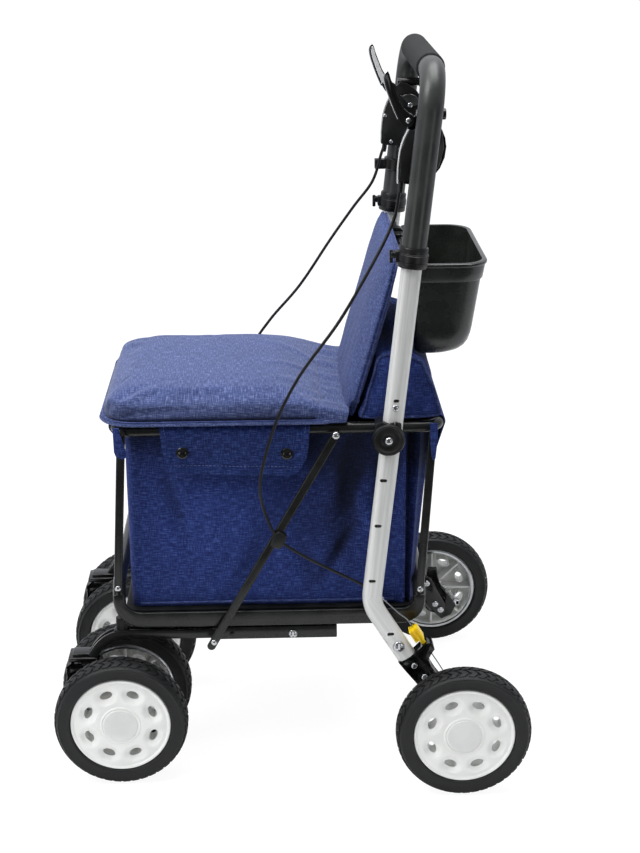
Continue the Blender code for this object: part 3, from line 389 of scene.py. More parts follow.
def cleanMesh(piece, mergeWithin=0.0):
    # Joins points that lie on each other and turns every face outwards.
    activate(piece)
    editAll()
    if mergeWithin:
        bpy.ops.mesh.remove_doubles(threshold=mergeWithin)
    bpy.ops.mesh.normals_make_consistent(inside=False)
    bpy.ops.object.mode_set(mode="OBJECT")
    return piece


def span(side, inner, outer):
    # Two distances from the middle plane, in rising order on either side.
    return sorted((side * inner, side * outer))


def roundEdges(piece, width, segments=2, angle=32.0):
    if width > 0:
        applyModifier(
            piece, "BEVEL", width=width, segments=segments, limit_method="ANGLE",
            angle_limit=math.radians(angle), harden_normals=False,
        )


def outlinePoint(plane, depth, pair):
    a, b = pair
    return {"YZ": (depth, a, b), "XZ": (a, depth, b), "XY": (a, b, depth)}[plane]


def plateShape(name, outline, low, high, bevel=0.0, segments=2, plane="YZ", inset=None):
    # A flat outline pulled up to a plate; inset sinks a panel into both faces.
    deselectAll()
    bpy.ops.mesh.primitive_circle_add(vertices=len(outline), radius=0.01, fill_type="NGON")
    piece = bpy.context.active_object
    piece.name = name
    for vert, pair in zip(piece.data.vertices, outline):
        vert.co = outlinePoint(plane, low, pair)
    editAll()
    bpy.ops.mesh.extrude_region_move(
        TRANSFORM_OT_translate={"value": outlinePoint(plane, high - low, (0.0, 0.0))}
    )
    bpy.ops.mesh.select_all(action="SELECT")
    bpy.ops.mesh.normals_make_consistent(inside=False)
    bpy.ops.object.mode_set(mode="OBJECT")
    if inset:
        axis = "YZ XZ XY".split().index(plane)
        for face in piece.data.polygons:
            face.select = abs(face.normal[axis]) > 0.9
        bpy.ops.object.mode_set(mode="EDIT")
        bpy.ops.mesh.select_mode(type="FACE")
        bpy.ops.mesh.inset(thickness=inset[0], depth=-inset[1], use_individual=True)
        bpy.ops.mesh.select_mode(type="VERT")
        bpy.ops.object.mode_set(mode="OBJECT")
    roundEdges(piece, bevel, segments)
    return piece


def boxShape(name, low, high, bevel=0.001, segments=2):
    return plateShape(
        name, [(low[1], low[2]), (high[1], low[2]), (high[1], high[2]), (low[1], high[2])], low[0], high[0],
        bevel, segments,
    )


def placeAlong(piece, start, direction):
    # Puts what was made round +Z at the origin onto a line.
    turned = Vector(direction).to_track_quat("Z", "Y").to_matrix().to_4x4()
    piece.data.transform(Matrix.Translation(start) @ turned)


def latheShape(name, profile, start=(0, 0, 0), direction=(0, 0, 1), steps=32):
    # profile: (radius, height) pairs, spun round the line from start.
    deselectAll()
    bpy.ops.mesh.primitive_circle_add(vertices=len(profile), radius=0.01, fill_type="NOTHING")
    piece = bpy.context.active_object
    piece.name = name
    for vert, (radius, height) in zip(piece.data.vertices, profile):
        vert.co = (radius, 0.0, height)
    onAxis = {k for k, (radius, height) in enumerate(profile) if radius < 1e-6}
    for vert in piece.data.vertices:
        vert.select = False
    bpy.ops.object.mode_set(mode="EDIT")
    bpy.ops.mesh.select_mode(type="EDGE")
    if any(onAxis.issuperset(edge.vertices) for edge in piece.data.edges):
        bpy.ops.object.mode_set(mode="OBJECT")
        for edge in piece.data.edges:
            edge.select = onAxis.issuperset(edge.vertices)
        bpy.ops.object.mode_set(mode="EDIT")
        bpy.ops.mesh.delete(type="EDGE")
    bpy.ops.mesh.select_mode(type="VERT")
    bpy.ops.mesh.select_all(action="SELECT")
    bpy.ops.mesh.spin(steps=steps, angle=2 * math.pi, center=(0, 0, 0), axis=(0, 0, 1))
    bpy.ops.mesh.select_all(action="SELECT")
    bpy.ops.mesh.remove_doubles(threshold=0.00001)
    bpy.ops.mesh.normals_make_consistent(inside=False)
    bpy.ops.object.mode_set(mode="OBJECT")
    placeAlong(piece, start, direction)
    return piece


def rodShape(name, radius, low, high, start=(0, 0, 0), direction=(0, 0, 1), steps=20):
    return latheShape(name, [(0, low), (radius, low), (radius, high), (0, high)], start, direction, steps)


def smoothPath(points, steps=6):
    points = [Vector(p) for p in points]
    padded = [2 * points[0] - points[1], *points, 2 * points[-1] - points[-2]]
    path = []
    for a, b, c, d in zip(padded, padded[1:], padded[2:], padded[3:]):
        for k in range(steps):
            t = k / steps
            path.append(
                0.5
                * (
                    2 * b + (c - a) * t + (2 * a - 5 * b + 4 * c - d) * t * t + (3 * b - a - 3 * c + d)
                    * t**3
                )
            )
    return [*path, points[-1]]


def bentPath(corners, radii, steps=8, closed=False):
    # Straight runs joined by arcs, as a tube bender makes them.
    corners = [Vector(c) for c in corners]
    count = len(corners)
    radii = radii if isinstance(radii, (list, tuple)) else [radii] * count
    path = []
    for k, corner in enumerate(corners):
        if not closed and k in (0, count - 1):
            path.append(corner)
            continue
        before = (corners[k - 1] - corner).normalized()
        after = (corners[(k + 1) % count] - corner).normalized()
        half = before.angle(after) / 2
        reach = radii[k] / math.tan(half)
        middle = corner + (before + after).normalized() * (radii[k] / math.sin(half))
        start = corner + before * reach - middle
        end = corner + after * reach - middle
        sweep = start.angle(end)
        for n in range(steps + 1):
            s = n / steps
            path.append(
                middle + (start * math.sin((1 - s) * sweep) + end * math.sin(s * sweep)) / math.sin(sweep)
            )
    return path


def tubeShape(name, path, radius, rings=5, closed=False, section=None):
    # A curve with a round or drawn section, converted to a mesh.
    deselectAll()
    bpy.ops.curve.primitive_nurbs_path_add()
    line = bpy.context.active_object
    line.name = name
    line.data.splines.clear()
    spline = line.data.splines.new("POLY")
    spline.points.add(len(path) - 1)
    for point, place in zip(spline.points, path):
        point.co = (*place, 1.0)
    spline.use_cyclic_u = closed
    line.data.use_fill_caps = not closed
    line.data.twist_mode = "MINIMUM"
    if section:
        bpy.ops.curve.primitive_nurbs_path_add()
        drawn = bpy.context.active_object
        drawn.data.dimensions = "2D"
        drawn.data.splines.clear()
        rim = drawn.data.splines.new("POLY")
        rim.points.add(len(section) - 1)
        for point, pair in zip(rim.points, section):
            point.co = (*pair, 0.0, 1.0)
        rim.use_cyclic_u = True
        line.data.bevel_mode = "OBJECT"
        line.data.bevel_object = drawn
    else:
        line.data.bevel_depth = radius
        line.data.bevel_resolution = rings
    activate(line)
    bpy.ops.object.convert(target="MESH")
    piece = bpy.context.active_object
    piece.name = name
    if section:
        bpy.data.objects.remove(drawn)
    return cleanMesh(piece, 0.00001)


def gridShape(name, across, down, place):
    # A grid laid over a surface; place(u, v) with both from 0 to 1.
    deselectAll()
    bpy.ops.mesh.primitive_grid_add(x_subdivisions=across, y_subdivisions=down, size=1.0)
    piece = bpy.context.active_object
    piece.name = name
    for vert in piece.data.vertices:
        vert.co = place(vert.co.x + 0.5, vert.co.y + 0.5)
    return piece


def joinPieces(name, pieces):
    activate(pieces[0])
    for piece in pieces:
        piece.select_set(True)
    if len(pieces) > 1:
        bpy.ops.object.join()
    pieces[0].name = name
    return pieces[0]


def cutAway(piece, *cutters):
    for cutter in cutters:
        applyModifier(piece, "BOOLEAN", object=cutter, operation="DIFFERENCE", solver="EXACT")
        bpy.data.objects.remove(cutter)
    return piece


def copyOf(piece, name, matrix):
    twin = piece.copy()
    twin.data = piece.data.copy()
    twin.name = name
    bpy.context.collection.objects.link(twin)
    twin.data.transform(matrix)
    if matrix.determinant() < 0:
        twin.data.flip_normals()
    return twin


def paint(piece, *materials):
    piece.data.materials.clear()
    for material in materials:
        piece.data.materials.append(material)
    return piece


def paintAll(material, *pieces):
    for piece in pieces:
        paint(piece, material)


def clothUv(piece):
    activate(piece)
    editAll()
    bpy.ops.uv.cube_project(cube_size=1.0)
    bpy.ops.object.mode_set(mode="OBJECT")


def smoothShade(piece, angle=34.0):
    activate(piece)
    bpy.ops.object.shade_smooth_by_angle(angle=math.radians(angle))


def finishExtra(piece, body, angle=34.0):
    # For a piece that the CAD model doesn't have.
    smoothShade(piece, angle)
    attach(piece, body)
    return piece


def finishPiece(piece, node, angle=34.0, stands=True):
    # For a piece that stands for a CAD node, or only goes with it.
    finishExtra(piece, bodyOf[node], angle)
    if stands:
        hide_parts(node)
    return piece


mirrorX = Matrix.Scale(-1.0, 4, (1, 0, 0))


def arcPoints(centre, radius, start, end, steps):
    spots = [math.radians(start + (end - start) * k / steps) for k in range(steps + 1)]
    return [(centre[0] + radius * math.cos(a), centre[1] + radius * math.sin(a)) for a in spots]


def bandOutline(path, halfAt):
    # Both edges of a band round a path in the YZ plane; halfAt gives half its width at a point.
    upper, lower = [], []
    for k, point in enumerate(path):
        run = path[min(k + 1, len(path) - 1)] - path[max(k - 1, 0)]
        normal = Vector((0.0, -run.z, run.y)).normalized() * halfAt(point)
        upper.append(((point + normal).y, (point + normal).z))
        lower.append(((point - normal).y, (point - normal).z))
    return upper + lower[::-1]


def ribbonOutline(points, halfWidth, steps=6):
    return bandOutline(smoothPath([(0.0, *p) for p in points], steps), lambda point: halfWidth)


def limited(value):
    return min(1.0, max(0.0, value))


def bell(value):
    # A soft bump: 1 in the middle, almost 0 past 2.
    return math.exp(-(value**2))


# Fasteners, modelled once and copied

screwShape = {"dome": 0.34, "edge": 0.16, "recess": 0.3, "arm": 0.62, "slot": 0.17}
fasteners = {}  # body name -> list of copies, joined at the end


def makeScrewHead():
    s = screwShape
    profile = [
        (0, 0), (1.0, 0), (1.0, s["edge"]), (0.93, s["edge"] + 0.12), (0.7, s["dome"] + 0.06),
        (0.35, s["dome"] + 0.16), (0, s["dome"] + 0.18),
    ]
    head = latheShape("screwHead", profile, steps=20)
    top = s["dome"] + 0.3
    barA = boxShape(
        "recessA", (-s["arm"], -s["slot"], top - s["recess"] - 0.12), (s["arm"], s["slot"], top + 0.2), 0.0,
    )
    barB = boxShape(
        "recessB", (-s["slot"], -s["arm"], top - s["recess"] - 0.12), (s["slot"], s["arm"], top + 0.2), 0.0,
    )
    cutAway(head, barA, barB)
    return paint(head, zincPlate)


def makeRivetHead():
    profile = [(0, 0), (1.0, 0), (1.0, 0.18), (0.94, 0.34), (0.78, 0.5), (0.5, 0.62), (0.2, 0.68), (0, 0.69)]
    return paint(latheShape("rivetHead", profile, steps=20), zincPlate)


def makeNut():
    outline = [(math.cos(k * math.pi / 3), math.sin(k * math.pi / 3)) for k in range(6)]
    nut = plateShape("lockNut", outline, 0.0, 0.7, 0.1, 2, plane="XY")
    stud = latheShape("studEnd", [(0, 0.6), (0.5, 0.6), (0.5, 0.95), (0.42, 1.02), (0, 1.02)], steps=14)
    return paint(joinPieces("lockNut", [nut, stud]), zincPlate)


screwHead, rivetHead, lockNut = makeScrewHead(), makeRivetHead(), makeNut()
templates = [screwHead, rivetHead, lockNut]


def obliqueOutline(centre, across, along, pairs):
    # (across, along) pairs laid out round the centre of a slanting part.
    spots = [centre + across * a + along * b for a, b in pairs]
    return [(spot.y, spot.z) for spot in spots]


def fasten(kind, body, place, outward, radius, material=None):
    turned = Vector(outward).to_track_quat("Z", "Y").to_matrix().to_4x4()
    twin = copyOf(kind, "fastener", Matrix.Translation(place) @ turned @ Matrix.Scale(radius, 4))
    if material:
        paint(twin, material)
    fasteners.setdefault(body, []).append(twin)


# Wheels

tyreForm = {
    "steps": 96, "lugs": 44, "lugSkew": 7.0, "lugWidth": 5.6, "lugDepth": 0.0013,
    "flank": [
        (0.0675, 0.78), (0.0688, 0.93), (0.0702, 0.97), (0.0716, 0.955), (0.076, 0.95), (0.08, 0.955),
        (0.0824, 0.96), (0.0834, 0.985), (0.0842, 0.965), (0.085, 0.9), (0.0862, 0.79), (0.0872, 0.6),
        (0.0878, 0.35), (0.088, 0.12),
    ],
    "lugLine": [(0.05, 0.0894), (0.28, 0.0894), (0.46, 0.089), (0.62, 0.0881), (0.76, 0.0868)],
}
coverForm = {
    "steps": 144, "holes": 8, "holeCircle": 0.0462, "holeLong": 0.0088, "holeShort": 0.0052, "dimple": 0.006,
    "ribs": 8,
    "face": [
        (0.0, 0.0176), (0.008, 0.0177), (0.0228, 0.0174), (0.0234, 0.0168), (0.0241, 0.0166),
        (0.0248, 0.0168), (0.0254, 0.0174), (0.0264, 0.0173), (0.027, 0.0167), (0.0276, 0.0164),
    ],
    "dome": [
        (0.0288, 0.0165), (0.031, 0.0168), (0.034, 0.017), (0.037, 0.0172), (0.0395, 0.0173),
        (0.042, 0.0173), (0.0445, 0.0172), (0.047, 0.0171), (0.0495, 0.0169), (0.052, 0.0166),
        (0.055, 0.0162), (0.058, 0.0157), (0.0605, 0.0152),
    ],
    "back": [
        (0.05, 0.012), (0.04, 0.0124), (0.03, 0.0122), (0.02, 0.0116), (0.014, 0.01), (0.0125, 0.008),
        (0.012, -0.0155), (0.011, -0.0172), (0.0062, -0.0172), (0.006, 0.0),
    ],
    "rim": [
        (0.0622, 0.015), (0.0634, 0.0156), (0.0648, 0.0163), (0.066, 0.0163), (0.0669, 0.0156),
        (0.0672, 0.0146), (0.0672, -0.0146), (0.0664, -0.0154), (0.064, -0.0152), (0.0618, -0.014),
        (0.0607, -0.012), (0.0607, 0.0085), (0.059, 0.0105),
    ],
}
wheelFrame = {
    "radius": 0.09, "rearX": 0.229, "rearY": 0.2285, "frontY": -0.2285, "casterX": 0.13, "twin": 0.051,
    "rearHalf": 0.018, "frontHalf": 0.019,
}


def makeTyre():
    # Made round +X at the front tyre's width and squeezed for the narrower rear ones.
    half = wheelFrame["frontHalf"]
    profile = [(r, x * half) for r, x in tyreForm["flank"]] + [
        (r, -x * half) for r, x in tyreForm["flank"][::-1]
    ]
    tyre = latheShape("tyre", profile, steps=tyreForm["steps"])

    def lugPlace(u, v):
        spot = u * (len(tyreForm["lugLine"]) - 1)
        k = min(int(spot), len(tyreForm["lugLine"]) - 2)
        share = spot - k
        across = tyreForm["lugLine"][k][0] * (1 - share) + tyreForm["lugLine"][k + 1][0] * share
        radius = tyreForm["lugLine"][k][1] * (1 - share) + tyreForm["lugLine"][k + 1][1] * share
        bend = abs(across - 0.45) * 1.6  # each lug is a chevron
        angle = math.radians(tyreForm["lugSkew"] * bend + (v - 0.5) * tyreForm["lugWidth"])
        return (radius * math.cos(angle), radius * math.sin(angle), across * half)

    lug = gridShape("lug", 4, 1, lugPlace)
    cleanMesh(lug)
    applyModifier(lug, "SOLIDIFY", thickness=tyreForm["lugDepth"], offset=0.0)
    roundEdges(lug, 0.0004, 1)
    pitch = 2 * math.pi / tyreForm["lugs"]
    lugs = []
    for k in range(tyreForm["lugs"]):
        lugs.append(copyOf(lug, "lug", Matrix.Rotation(k * pitch, 4, "Z")))
        lugs.append(
            copyOf(lug, "lug", Matrix.Rotation((k + 0.5) * pitch, 4, "Z") @ Matrix.Scale(-1, 4, (0, 0, 1)))
        )
    bpy.data.objects.remove(lug)
    tyre = joinPieces("tyre", [tyre, *lugs])
    tyre.data.transform(Matrix.Rotation(math.pi / 2, 4, "Y"))
    return paint(tyre, tyreRubber)


def makeCover():
    cover = latheShape(
        "wheelCover",
        coverForm["face"] + coverForm["dome"] + coverForm["rim"] + coverForm["back"] + [(0.0, 0.0)],
        steps=coverForm["steps"],
    )
    cover.data.transform(Matrix.Rotation(math.pi / 2, 4, "Y"))
    holes = [2 * math.pi * (k + 0.5) / coverForm["holes"] for k in range(coverForm["holes"])]
    for vert in cover.data.vertices:
        x, y, z = vert.co
        if x < 0.0095 or not 0.029 < math.hypot(y, z) < 0.063:
            continue  # only the outer face between hub and rim is dented
        for angle in holes:
            radial = y * math.cos(angle) + z * math.sin(angle) - coverForm["holeCircle"]
            tangent = -y * math.sin(angle) + z * math.cos(angle)
            near = 1.0 - (radial / 0.013) ** 2 - (tangent / 0.0165) ** 2
            if near > 0 and abs(tangent) < 0.02 and radial > -0.02:
                vert.co.x = x - coverForm["dimple"] * (near * near * (3 - 2 * near))
    outward = Matrix.Translation((0, coverForm["holeCircle"], 0))
    squeeze = Matrix.Diagonal((1.0, coverForm["holeShort"], coverForm["holeLong"], 1.0))
    places = [
        Matrix.Rotation(angle, 4, "X") @ outward @ squeeze @ Matrix.Rotation(math.pi / 2, 4, "Y")
        for angle in holes
    ]
    hole = rodShape("hole", 1, 0.004, 0.03, steps=28)
    cutters = [copyOf(hole, "hole", place) for place in places]
    cutAway(cover, joinPieces("holes", cutters))
    paint(cover, whitePlastic)
    sleeve = latheShape("sleeve", [(1.0, -0.009), (1.16, -0.009), (1.16, 0.0105), (1.0, 0.0105)], steps=28)
    rims = [copyOf(sleeve, "sleeve", place) for place in places]
    paintAll(whitePlastic, *rims)
    for pattern in (hole, sleeve):
        bpy.data.objects.remove(pattern)
    cover = joinPieces("cover", [cover, *rims])
    ribs = []
    for k in range(coverForm["ribs"]):
        rib = boxShape("rib", (-0.01, 0.0115, -0.0013), (0.0118, 0.061, 0.0013), 0.0005, 1)
        rib.data.transform(Matrix.Rotation(2 * math.pi * k / coverForm["ribs"], 4, "X"))
        ribs.append(paint(rib, whitePlastic))
    disc = latheShape(
        "centreDisc",
        [(0, 0.017), (0.0224, 0.017), (0.0227, 0.0177), (0.0221, 0.0181), (0.012, 0.0183), (0, 0.0184)],
        direction=(1, 0, 0), steps=64,
    )
    paint(disc, capPlastic)
    ringPiece = latheShape(
        "rimRing",
        [
            (0.0612, -0.014), (0.0668, -0.015), (0.067, -0.016), (0.0655, -0.017), (0.0625, -0.0166),
            (0.061, -0.0152),
        ],
        direction=(1, 0, 0), steps=96,
    )
    paint(ringPiece, zincPlate)
    return joinPieces("wheelCover", [cover, *ribs, disc, ringPiece])


tyreTemplate, coverTemplate = makeTyre(), makeCover()
templates += [tyreTemplate, coverTemplate]
stemX, twinX, frontY = wheelFrame["casterX"], wheelFrame["twin"], wheelFrame["frontY"]
wheelPlaces = []  # name, place along X and Y, the way its cover faces, and half its width
for label, side in sides:
    wheelPlaces += [
        (f"rear_{label}", side * wheelFrame["rearX"], wheelFrame["rearY"], side, wheelFrame["rearHalf"]),
        (f"front_{label}_outer", side * (stemX + twinX), frontY, side, wheelFrame["frontHalf"]),
        (f"front_{label}_inner", side * (stemX - twinX), frontY, -side, wheelFrame["frontHalf"]),
    ]
for name, x, y, facing, half in wheelPlaces:
    squeeze = Matrix.Diagonal((facing * half / wheelFrame["frontHalf"], 1, 1, 1))
    put = Matrix.Translation((x, y, wheelFrame["radius"])) @ squeeze
    finishPiece(copyOf(tyreTemplate, "tread_" + name, put), "tyre_" + name)
    finishPiece(copyOf(coverTemplate, "wheel_" + name, put), "hub_" + name, 30.0)
print("wheels made")

# Front casters and carrier bars

forkForm = {"half": 0.018, "axle": (-0.2285, 0.09), "hub": 0.0165, "bevel": 0.0022}
carrierForm = {
    "offset": 0.004, "strip": 0.0045, "gap": 0.0036, "bandHalf": 0.0062,
    "band": [
        (-0.086, 0.1958), (-0.15, 0.1958), (-0.205, 0.1968), (-0.23, 0.1958), (-0.245, 0.1905),
        (-0.257, 0.1805), (-0.2655, 0.1685), (-0.268, 0.164),
    ],
}


def makeFork(label, side):
    centre = side * wheelFrame["casterX"]
    axle = forkForm["axle"]
    outline = [
        (-0.303, 0.13), (-0.2985, 0.1262), (-0.288, 0.125), (-0.262, 0.113),
        *arcPoints(axle, forkForm["hub"], 150, 400, 22)[2:], (-0.238, 0.118), (-0.25, 0.133),
        (-0.257, 0.147), (-0.259, 0.158), (-0.297, 0.158), (-0.303, 0.1535),
    ]
    fork = plateShape(
        "forkBody", outline, centre - forkForm["half"], centre + forkForm["half"], forkForm["bevel"], 3,
        inset=(0.0042, 0.0022),
    )
    boss = latheShape(
        "forkBoss",
        [(0, -0.0317), (0.0092, -0.0317), (0.01, -0.0305), (0.01, 0.0305), (0.0092, 0.0317), (0, 0.0317)],
        (centre, *axle), (1, 0, 0), 36,
    )
    axlePin = rodShape("forkAxle", 0.0045, -0.067, 0.067, (centre, *axle), (1, 0, 0), 20)
    chin = boxShape(
        "forkChin", (centre - 0.0165, -0.3036, 0.133), (centre + 0.0165, -0.296, 0.15), 0.0016, 2,
    )
    rib = boxShape("forkRib", (centre - 0.0192, -0.298, 0.145), (centre + 0.0192, -0.262, 0.1505), 0.0012, 2)
    paintAll(glossNylon, fork, boss, chin, rib)
    paint(axlePin, zincPlate)
    finishPiece(
        joinPieces("casterFork_" + label, [fork, boss, axlePin, chin, rib]), "caster_fork_" + label,
    )


def makeCarrier(label, side):
    centre = side * (wheelFrame["casterX"] + carrierForm["offset"])
    stem = side * wheelFrame["casterX"]
    pieces = []
    for way in (-1, 1):
        middle = centre + way * (carrierForm["gap"] + carrierForm["strip"] / 2)
        arm = plateShape(
            "arm", ribbonOutline(carrierForm["band"], carrierForm["bandHalf"]),
            middle - carrierForm["strip"] / 2, middle + carrierForm["strip"] / 2, 0.0011, 2,
        )
        pieces.append(paint(arm, powderCoat))
    bar = boxShape("bar", (centre - 0.008, -0.1036, 0.187), (centre + 0.008, 0.0642, 0.205), 0.0014, 2)
    web = boxShape("web", (centre - 0.004, -0.098, 0.203), (centre + 0.004, 0.06, 0.2125), 0.0006, 1)
    block = boxShape("block", (centre - 0.0075, -0.237, 0.188), (centre + 0.0075, -0.215, 0.2036), 0.0012, 2)
    for piece in (bar, web, block):
        pieces.append(paint(piece, powderCoat))
    pinPiece = rodShape("swivelPin", 0.005, 0.138, 0.16, (stem, -0.285, 0), (0, 0, 1), 20)
    pieces.append(paint(pinPiece, zincPlate))
    cap = boxShape("capPlate", (stem - 0.0165, -0.3005, 0.1586), (stem + 0.0165, -0.262, 0.165), 0.0018, 3)
    capStep = boxShape("capStep", (stem - 0.011, -0.295, 0.1645), (stem + 0.011, -0.262, 0.169), 0.0016, 3)
    pieces += [paint(cap, glossNylon), paint(capStep, glossNylon)]
    knurl = latheShape(
        "knurl",
        [(0, 0.203), (0.0076, 0.203), (0.0082, 0.2044), (0.0082, 0.219), (0.0076, 0.2202), (0, 0.2202)],
        (centre, -0.226, 0), (0, 0, 1), 48,
    )
    for vert in knurl.data.vertices:
        dx, dy = vert.co.x - centre, vert.co.y + 0.226
        if math.hypot(dx, dy) > 0.007:
            k = round(math.atan2(dy, dx) / (2 * math.pi) * 48)
            vert.co.x -= dx * (0.1 if k % 2 else 0.0)
            vert.co.y -= dy * (0.1 if k % 2 else 0.0)
    pieces.append(paint(knurl, blackNylon))
    edge = centre + side * 0.008
    hook = rodShape("hookPin", 0.0045, 0, 0.015, (edge - side * 0.001, -0.1019, 0.1916), (side, 0, 0), 18)
    pieces.append(paint(hook, zincPlate))
    finishPiece(joinPieces("carrier_" + label, pieces), "carrier_bar_" + label)
    fasten(screwHead, "tray", (edge, 0.0046, 0.194), (side, 0, 0), 0.0062)
    fasten(rivetHead, "tray", (edge, -0.078, 0.1958), (side, 0, 0), 0.003, blackNylon)


for label, side in sides:
    makeFork(label, side)
    makeCarrier(label, side)
print("casters made")

# Leg tubes

legForm = {
    "x": 0.1735, "long": 0.013, "wide": 0.011, "groove": 0.00008, "grooveWide": 5.0, "foot": (0.156, 0.1745),
    "knee": (0.1083, 0.2515), "slope": 0.1065, "top": 0.77, "bend": 0.05,
}
legWay = Vector((0.0, 0.1059, 0.9944))


def legY(z):
    return legForm["knee"][0] + (z - legForm["knee"][1]) * legForm["slope"]


def onLeg(z, offset=0.0, x=0.0):
    return Vector((x, legY(z), z)) + Vector((0.0, legWay.z, -legWay.y)) * offset


def legSection():
    # Flat oval with a shallow drawing groove near each edge.
    section = []
    for k in range(96):
        angle = 360 * k / 96
        dip = max((bell((angle - a) / legForm["grooveWide"]) for a in (52, 128, 232, 308)))
        spot = math.radians(angle)
        squareness = 2.5
        c, s = math.cos(spot), math.sin(spot)
        swell = (abs(c) ** squareness + abs(s) ** squareness) ** (-1 / squareness)
        sunk = legForm["groove"] * dip
        section.append(((legForm["wide"] * swell - sunk) * c, (legForm["long"] * swell - sunk) * s))
    return section


def makeLeg(label, side):
    foot, knee = legForm["foot"], legForm["knee"]
    straight = [(0, legY(z), z) for z in (0.32, 0.38, 0.44, 0.5, 0.56, 0.62, 0.68, 0.73, legForm["top"])]
    path = bentPath([(0, *foot), (0, *knee), straight[-1]], legForm["bend"], 14)
    path = path[:-1] + [Vector(p) for p in straight]
    leg = tubeShape("leg", path, 0.0, section=legSection())
    for z, offset, halfLong in (
        (0.537, 0.0, 0.0012), (0.429, -0.004, 0.0022), (0.366, -0.004, 0.0022), (0.288, -0.003, 0.0022),
        (None, 0, 0.0022),
    ):
        middle = onLeg(z, offset, 0.0) if z else Vector((0, 0.134, 0.2109))
        slot = [
            *arcPoints((middle.y + halfLong, middle.z), 0.0025, -90, 90, 8),
            *arcPoints((middle.y - halfLong, middle.z), 0.0025, 90, 270, 8),
        ]
        cutAway(leg, plateShape("slot", slot, 0.0085, 0.013))
    paint(leg, legAluminium)
    # The slots' floors take the painted shade of the tube's dark inside.
    leg.data.materials.append(boreShade)
    for face in leg.data.polygons:
        if abs(face.center.x - 0.0085) < 0.0001 and face.normal.x > 0.99:
            face.material_index = 1
    footWay = Vector((0, foot[0] - knee[0], foot[1] - knee[1])).normalized()
    layer = leg.data.uv_layers.new(name="alongTube") if not leg.data.uv_layers else leg.data.uv_layers[0]
    for loop in leg.data.loops:
        place = leg.data.vertices[loop.vertex_index].co
        rel = place - Vector((0, *knee))
        way = legWay if rel.z > 0.012 else -footWay
        layer.data[loop.index].uv = (place.x + 0.6 * (rel.y * way.z - rel.z * way.y), rel.dot(way))
    leg.data.transform(Matrix.Translation((legForm["x"], 0, 0)))
    if side < 0:
        leg.data.transform(mirrorX)
        leg.data.flip_normals()
    finishPiece(leg, "leg_tube_" + label, 40.0)


for label, side in sides:
    makeLeg(label, side)
    x = side * (legForm["x"] + 0.0112)
    fasten(screwHead, "leg_frame", (x, *onLeg(0.528)[1:]), (side, 0, 0), 0.0044)
    fasten(screwHead, "leg_frame", (x, 0.145, 0.1932), (side, 0, 0), 0.0078)
    inner = side * (legForm["x"] - 0.0112)
    fasten(lockNut, "leg_frame", (inner, *onLeg(0.528)[1:]), (-side, 0, 0), 0.0042)
print("legs made")

# Rear brackets, brakes and springs

bracketForm = {"axle": (0.2285, 0.09), "low": 0.1645, "high": 0.1835}


def makeBracket(label, side):
    axle = bracketForm["axle"]
    x = side * legForm["x"]
    low, high = span(side, bracketForm["low"], bracketForm["high"])
    outline = [
        (0.1448, 0.1683), (0.154, 0.156), (0.1744, 0.1305), (0.201, 0.101),
        *arcPoints(axle, 0.0165, 195, 380, 18), (0.233, 0.108), (0.218, 0.126), (0.206, 0.1375),
        (0.1957, 0.151), (0.189, 0.162), (0.185, 0.172), (0.1885, 0.18), (0.193, 0.187), (0.1896, 0.1975),
        (0.183, 0.196), (0.1763, 0.192), (0.1662, 0.1811),
    ]
    body = plateShape("bracketBody", outline, low, high, 0.0022, 3, inset=(0.004, 0.002))
    shoulder = plateShape(
        "shoulder",
        ribbonOutline([(0.153, 0.17), (0.166, 0.162), (0.18, 0.148), (0.196, 0.13), (0.21, 0.112)], 0.0046),
        side * (bracketForm["low"] - 0.001), side * (bracketForm["high"] + 0.0014), 0.0014, 2,
    )
    # up to the wheel's inner face
    reach = wheelFrame["rearX"] - wheelFrame["rearHalf"] - 0.0004 - legForm["x"]
    bossPiece = latheShape(
        "boss", [(0, 0), (0.01, 0), (0.01, reach - 0.001), (0.009, reach), (0, reach)], (x, *axle),
        (side, 0, 0), 36,
    )
    stub = rodShape("stub", 0.0045, 0, 0.07, (x, *axle), (side, 0, 0), 20)
    backing = plateShape(
        "backing",
        [
            (0.213, 0.09), (0.229, 0.064), (0.2407, 0.053), (0.256, 0.06), (0.264, 0.076), (0.25, 0.096),
            (0.24, 0.108), (0.2345, 0.124), (0.233, 0.14), (0.218, 0.14), (0.215, 0.115),
        ],
        *span(side, 0.182, 0.1915), 0.0016, 2, inset=(0.003, 0.0012)
    )
    hexPlate = plateShape(
        "hexPlate",
        [
            (0.2052, 0.124), (0.216, 0.09), (0.233, 0.07), (0.245, 0.076), (0.244, 0.09), (0.233, 0.11),
            (0.222, 0.133), (0.211, 0.137),
        ],
        *span(side, 0.16, 0.1646), 0.0014, 2
    )
    paintAll(glossNylon, body, shoulder, bossPiece, backing, hexPlate)
    paint(stub, zincPlate)
    finishPiece(
        joinPieces("rearBracket_" + label, [body, shoulder, bossPiece, backing, hexPlate, stub]),
        "rear_bracket_" + label,
    )
    fasten(screwHead, "leg_frame", (side * 0.185, 0.166, 0.164), (side, 0, 0), 0.0042)
    fasten(screwHead, "leg_frame", (side * 0.185, 0.18, 0.147), (side, 0, 0), 0.0042)
    for spot in ((0.215, 0.125), (0.2285, 0.09), (0.237, 0.08)):
        fasten(screwHead, "leg_frame", (side * 0.16, *spot), (-side, 0, 0), 0.0048)


